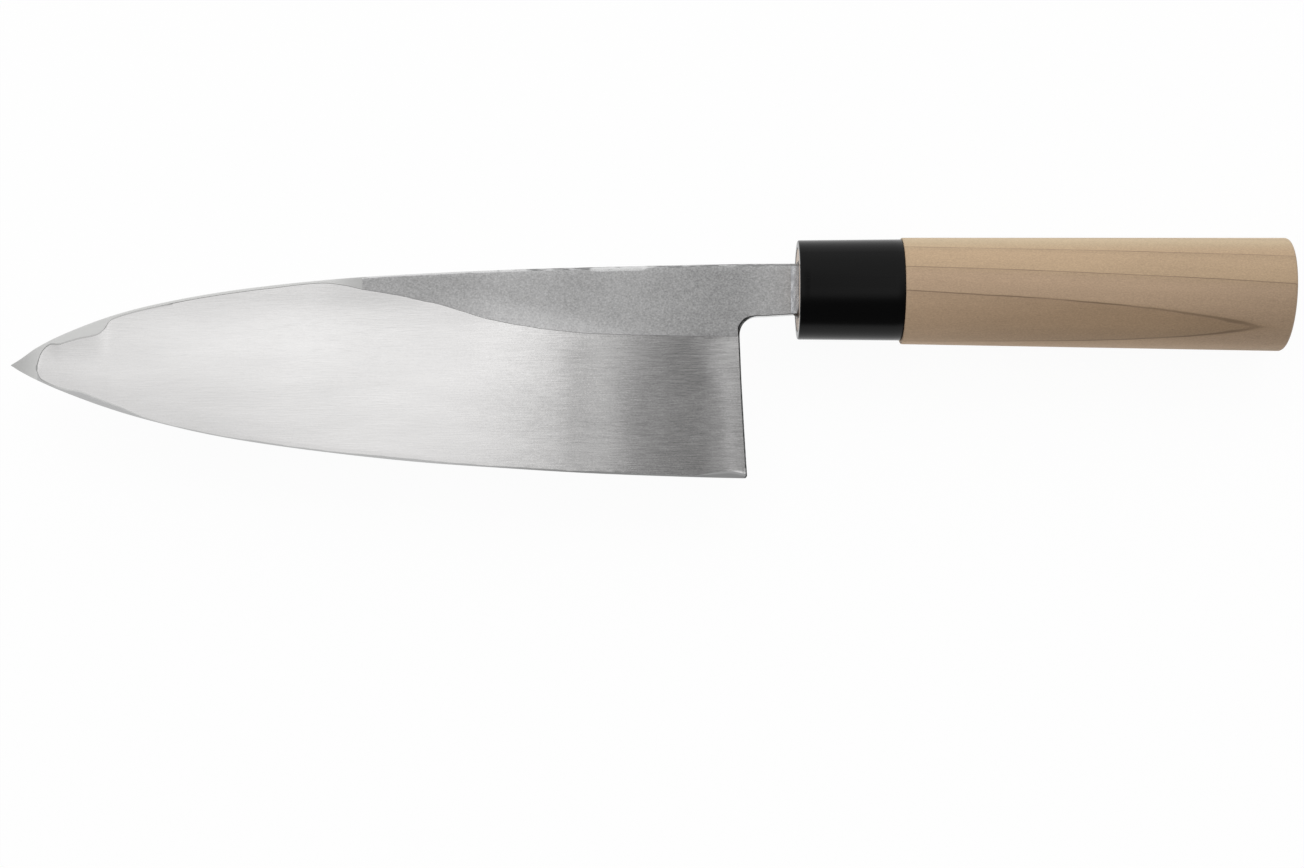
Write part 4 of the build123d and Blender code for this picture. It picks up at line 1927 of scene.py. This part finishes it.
@dataclass
class Grip:
    """Wooden grip: body, rounded butt, tenon and the hole for the tang."""

    layout: Layout
    shape: HandleShape = field(default_factory=HandleShape)
    body_rings: int = 40
    round_steps: int = 8
    butt_rings: int = 10

    def slanted(self, ring: Array, from_x: float) -> Array:
        """Lean a ring so that the butt's end is slanted, more so the nearer it is to the butt."""
        lean = math.tan(math.radians(self.shape.butt_slant))
        share = np.clip((ring[:, 0] - from_x) / (self.shape.handle_length - from_x), 0.0, 1.0)
        leaned = ring.copy()
        leaned[:, 0] += ring[:, 1] * lean * share
        return leaned

    def body(self) -> list[Array]:
        """Rings of the body, from the middle of the butt to the shoulder behind the collar."""
        shape, section = self.shape, self.shape.section
        half_width = shape.grip_width / 2.0
        end = shape.handle_length + shape.butt_reach
        lean_start = shape.collar_length + 8.0
        rings = []
        radius, drop = shape.grip_size(end)
        for step in range(1, self.butt_rings + 1):
            share = step / self.butt_rings
            inset = shape.butt_round
            rings.append(section.ring(
                end, (radius - inset) * share, (half_width - inset) * share, drop
            ))
        for step in range(1, self.round_steps + 1):
            turn = math.pi / 2.0 * step / self.round_steps
            x = end - shape.butt_round * (1.0 - math.cos(turn))
            inset = shape.butt_round * (1.0 - math.sin(turn))
            radius, drop = shape.grip_size(x)
            rings.append(section.ring(x, radius - inset, half_width - inset, drop))
        front = shape.collar_length
        ease = shape.grip_front_ease
        for share in np.linspace(0.0, 1.0, self.body_rings)[1:]:
            x = end - shape.butt_round + (front + ease - end + shape.butt_round) * share
            radius, drop = shape.grip_size(x)
            rings.append(section.ring(x, radius, half_width, drop))
        for step in (1, 2, 3):
            turn = math.pi / 2.0 * step / 3.0
            x = front + ease * (1.0 - math.sin(turn))
            inset = ease * (1.0 - math.cos(turn))
            radius, drop = shape.grip_size(x)
            rings.append(section.ring(x, radius - inset, half_width - inset, drop))
        return [self.slanted(ring, lean_start) for ring in rings]

    def tenon(self) -> list[Array]:
        """Rings of the tenon, its end face and the hole for the tang."""
        shape, section = self.shape, self.shape.section
        less = shape.collar_wall + shape.collar_fit
        half_width = shape.collar_width / 2.0 - less
        rings = []
        for x in (shape.collar_length, shape.collar_length / 2.0, shape.tenon_inset + 0.25):
            rings.append(section.ring(x, shape.collar_radius_y(x) - less, half_width))
        radius = shape.collar_radius_y(shape.tenon_inset) - less
        for inset in (0.2, 1.2):
            rings.append(section.ring(shape.tenon_inset, radius - inset, half_width - inset))
        mouth = (shape.mouth_depth, shape.mouth_thickness)
        rings.append(section.box_ring(shape.tenon_inset, *mouth))
        rings.append(section.box_ring(shape.mouth_reach, *mouth))
        rings.append(section.box_ring(shape.mouth_reach, *shape.hole_root))
        rings.append(section.box_ring(shape.hole_reach, *shape.hole_end))
        return rings

    def build(self) -> bpy.types.Object:
        """Build the grip.

        Returns:
            The piece.
        """
        draft = MeshDraft()
        body, tenon = self.body(), self.tenon()
        rings = np.stack(body + tenon)
        numbers = draft.add(rings)
        zones = np.full((len(rings) - 1, rings.shape[1]), GripZone.LONG_GRAIN.value)
        zones[: self.butt_rings] = GripZone.END_GRAIN.value
        zones[len(body) + 2:] = GripZone.TENON.value
        draft.grid(numbers, zones, closed=True)
        draft.cap(numbers[0], GripZone.END_GRAIN.value)
        draft.cap(numbers[-1], GripZone.TENON.value)
        start_y = self.layout.origin.y - self.shape.grip_front_drop * MM
        middle = Vector((
            self.layout.origin.x + self.shape.collar_length * MM, start_y, self.layout.origin.z
        ))
        wood = PaleWood(middle=middle)
        ends = PaleWood(name="pale_wood_end", middle=middle, end_grain=True)
        # The tenon's end grain is paler, and its tone is lifted as painted light against the shade
        # inside the collar's mouth.
        tenon = PaleWood(name="pale_wood_tenon", middle=middle, sapwood=(0.44, 0.37, 0.315),
                         rosy=(0.44, 0.37, 0.315), end_grain=True, end_tone=1.55)
        return draft.build("wooden_grip", self.layout, [wood, ends, tenon], 28.0)


@dataclass
class Bedding:
    """Dark resin round the neck and the tang, with a bead at the neck's lower corner."""

    layout: Layout
    shape: HandleShape = field(default_factory=HandleShape)
    neck: tuple[float, float] = (14.37, 7.9)
    meniscus: float = 0.45
    bead_reach: float = 1.3
    bead_size: float = 1.5

    def build(self) -> bpy.types.Object:
        """Build the resin.

        Returns:
            The piece.
        """
        shape, section, draft = self.shape, self.shape.section, MeshDraft()
        inset = 0.01
        mouth = (shape.mouth_depth - inset, shape.mouth_thickness - inset)
        root = (shape.hole_root[0] - inset, shape.hole_root[1] - inset)
        end = (shape.hole_end[0] - inset, shape.hole_end[1] - inset)
        reach = shape.mouth_reach - inset
        rings = [
            section.box_ring(shape.hole_reach - inset, *end),
            section.box_ring(reach, *root),
            section.box_ring(reach, *mouth),
            section.box_ring(shape.tenon_inset, *mouth),
        ]
        for share in (0.35, 0.7, 1.0):
            depth = mouth[0] + (self.neck[0] - mouth[0]) * share
            thickness = mouth[1] + (self.neck[1] - mouth[1]) * share
            ring = section.box_ring(shape.tenon_inset, depth, thickness)
            lumpy = 0.75 + 0.35 * wander(ring[:, 1] * 2.0 + ring[:, 2], 2.0, 41)
            wiped = 1.0 - 0.88 * smooth_step(ring[:, 2], 3.4, 3.9)
            proud = self.meniscus * share * lumpy * wiped
            gap = np.hypot(ring[:, 1] + self.neck[0] / 2.0 + 0.25, ring[:, 2] - 2.6)
            bead = self.bead_reach * np.exp(-((gap / self.bead_size) ** 2)) * math.sqrt(share)
            ring[:, 0] -= proud + bead
            rings.append(ring)
        rings.append(section.box_ring(shape.mouth_reach - 1.0, *self.neck))
        numbers = draft.add(np.stack(rings))
        draft.grid(numbers, 0, closed=True)
        draft.cap(numbers[0], 0)
        draft.cap(numbers[-1], 0)
        return draft.build("neck_bedding", self.layout, [SetResin()], 40.0)


# Studio


@dataclass(frozen=True)
class Studio:
    """Camera over the knife, white floor, soft tent with a dark gap at the camera, one lamp."""

    lens: float = 57.58
    sensor: float = 36.0
    camera_place: tuple[float, float, float] = (0.00028, -0.02193, 0.6143)
    floor_reach: float = 12.0
    floor_shade: float = 0.05
    floor_color: Color = (0.9, 0.9, 0.9)
    dark: float = 0.17
    bright: float = 1.0
    low_band: float = 0.8
    lamp_power: float = 8.0
    fill_power: float = 3.5
    strip_reach: float = 32.0
    middle_strips: tuple[tuple[float, float], ...] = (
        (-28.0, 0.75), (-15.0, 1.07), (-9.5, 1.44), (-6.0, 1.42), (-4.2, 1.22), (-3.0, 1.02),
        (-2.2, 0.55), (-1.4, 0.98), (-0.8, 0.40), (-0.2, 0.34), (0.7, 0.16), (1.35, 0.12),
        (1.8, 0.22), (2.3, 0.46), (3.1, 0.55), (5.0, 1.25), (28.0, 0.7),
    )
    spine_side_strips: tuple[tuple[float, float], ...] = (
        (-28.0, 0.72), (-15.0, 0.96), (-9.5, 1.03), (-6.0, 1.06), (-4.2, 1.02), (-3.0, 0.97),
        (-2.2, 0.54), (-1.4, 0.88), (-0.8, 0.46), (-0.2, 0.40), (0.7, 0.17), (1.35, 0.16),
        (1.8, 0.26), (2.3, 0.32), (3.5, 0.32), (5.0, 1.2), (28.0, 0.7),
    )

    def add_camera(self) -> None:
        """Camera straight above, with the image's top towards the spine."""
        camera = bpy.data.cameras.new("camera")
        camera.lens, camera.sensor_width = self.lens, self.sensor
        camera.clip_start, camera.clip_end = 0.01, 60.0
        holder = bpy.data.objects.new("camera", camera)
        holder.location = self.camera_place
        bpy.context.scene.collection.objects.link(holder)
        bpy.context.scene.camera = holder

    def add_floor(self) -> None:
        """Large pale floor that keeps the knife's shadow and shows white."""
        reach = self.floor_reach
        mesh = bpy.data.meshes.new("floor")
        signs = [(-1, -1), (1, -1), (1, 1), (-1, 1)]
        corners = [(across * reach, along * reach, 0.0) for across, along in signs]
        mesh.from_pydata(corners, [], [(0, 1, 2, 3)])
        floor = bpy.data.objects.new("floor", mesh)
        bpy.context.scene.collection.objects.link(floor)
        material = bpy.data.materials.new("white_floor")
        material.use_nodes = True
        shader = Shader(material.node_tree)
        diffuse = shader.node("ShaderNodeBsdfDiffuse", sockets={"Color": self.floor_color})
        white = {"Color": (1.0, 1.0, 1.0), "Strength": 1.0}
        glow = shader.node("ShaderNodeEmission", sockets=white)
        seen = self.seen(shader) * (1.0 - self.floor_shade)
        mixed = shader.node(
            "ShaderNodeMixShader", sockets={0: seen, 1: diffuse.outputs[0], 2: glow.outputs[0]}
        )
        shader.node("ShaderNodeOutputMaterial", sockets={"Surface": mixed.outputs[0]})
        mesh.materials.append(material)

    @staticmethod
    def seen(shader: Shader) -> Value:
        """One for rays that show the background: from the camera, in gloss and through glass."""
        light = shader.node("ShaderNodeLightPath").outputs
        camera = Value(shader, light["Is Camera Ray"])
        glossy = Value(shader, light["Is Glossy Ray"])
        through = Value(shader, light["Is Transmission Ray"])
        return shader.math("MAXIMUM", shader.math("MAXIMUM", camera, glossy), through)

    def add_tent(self) -> None:
        """World: soft tent, its zenith strips blended from two profiles, and a pale low band."""
        world = bpy.data.worlds.new("tent")
        bpy.context.scene.world = world
        world.use_nodes = True
        shader = Shader(world.node_tree)
        direction = shader.node("ShaderNodeTexCoord").outputs["Generated"]
        x, y, z = shader.axes(direction)
        up = shader.math("MAXIMUM", z, 0.001)
        lean_x, lean_y = x / up, y / up
        level = (y - x * 0.25).rise(-0.6, 0.45, self.dark, self.bright)
        span = lean_y.rise(math.tan(math.radians(50.0)), math.tan(math.radians(25.0)))
        span = span * lean_y.rise(-math.tan(math.radians(24.0)), -math.tan(math.radians(6.0)))
        strip = self.strips(shader, lean_x, self.middle_strips)
        edge_side = self.strips(shader, lean_x, self.spine_side_strips)
        strip = strip + (edge_side - strip) * lean_y.rise(-0.01, math.tan(math.radians(4.5)))
        shade = lean_y.rise(0.013, 0.0) * lean_x.rise(-0.085, -0.125)
        strip = strip * (1.0 - shade * (0.18 + lean_x.rise(-0.24, -0.14) * 0.13))
        reach = lean_x.rise(-math.tan(math.radians(30.0)), -math.tan(math.radians(14.0)))
        reach = reach * lean_x.rise(math.tan(math.radians(30.0)), math.tan(math.radians(5.0)))
        level = level + (strip - level) * span * reach
        level = level + (self.low_band - level) * z.rise(0.16, 0.03)
        camera = Value(shader, shader.node("ShaderNodeLightPath").outputs["Is Camera Ray"])
        level = level + (1.0 - level) * camera
        sky = {"Color": shader.gray(level), "Strength": 1.0}
        back = shader.node("ShaderNodeBackground", sockets=sky)
        shader.node("ShaderNodeOutputWorld", sockets={"Surface": back.outputs[0]})

    def strips(
        self, shader: Shader, lean: Value, profile: Sequence[tuple[float, float]]
    ) -> Value:
        """Light overhead as it changes from left to right.

        Args:
            shader: The world's shader.
            lean: Tangent of the angle from straight up, towards the right.
            profile: Angles in degrees and the level at each.

        Returns:
            The level.
        """
        reach = math.tan(math.radians(self.strip_reach))
        stops = [
            ((math.tan(math.radians(angle)) / reach + 1.0) / 2.0, (level / 2.0,) * 3)
            for angle, level in profile
        ]
        place = (lean / reach + 1.0) * 0.5
        ramp = shader.node("ShaderNodeValToRGB", {"stops": stops}, {"Fac": place})
        return shader.axes(ramp.outputs["Color"])[0] * 2.0

    def add_lamp(
        self, name: str, place: tuple[float, float, float], power: float, height: float
    ) -> None:
        """Add a soft lamp that faces the knife and doesn't mirror in it.

        Args:
            name: The lamp's name.
            place: Where it hangs, in metres.
            power: Its power in watts.
            height: Height of its panel, in metres.
        """
        lamp = bpy.data.lights.new(name, "AREA")
        lamp.shape = "RECTANGLE"
        lamp.size, lamp.size_y = 1.5, height
        lamp.energy = power
        holder = bpy.data.objects.new(name, lamp)
        holder.location = place
        holder.rotation_euler = (-Vector(place)).to_track_quat("-Z", "Y").to_euler()
        holder.visible_glossy = False
        bpy.context.scene.collection.objects.link(holder)

    def build(self) -> None:
        """Set the studio up."""
        self.add_camera()
        self.add_floor()
        self.add_tent()
        self.add_lamp("spine_side_lamp", (0.0, 1.0, 0.75), self.lamp_power, 0.9)
        self.add_lamp("edge_side_fill", (0.0, -1.22, 0.34), self.fill_power, 0.5)


def place_piece(piece: bpy.types.Object, node: str) -> None:
    """Fix a piece to the frame.

    Args:
        piece: The finished piece.
        node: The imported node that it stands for.
    """
    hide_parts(node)
    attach(piece, BODY)
    LOG.info("%s: %d faces, stands for %s", piece.name, len(piece.data.polygons), node)


def main() -> None:
    """Build the knife's pieces and the studio, and log the frame's nodes and each piece's faces.
    """
    logging.basicConfig(level=logging.INFO, format="%(message)s")
    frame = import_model()
    LOG.info("frame holds %s", ", ".join(sorted(frame["nodes"])))
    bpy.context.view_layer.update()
    view = bpy.context.scene.view_settings
    view.view_transform = "Standard"
    layout = Layout.from_frame()
    Studio().build()
    blade = Blade(layout)
    place_piece(blade.steel_face(), "hard_steel_face")
    place_piece(blade.iron_body(), "iron_body")
    place_piece(Collar(layout).build(), "ferrule")
    place_piece(Grip(layout).build(), "wood_grip")
    place_piece(Bedding(layout).build(), "tang_bedding")
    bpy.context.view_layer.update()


if __name__ == "__main__":
    main()
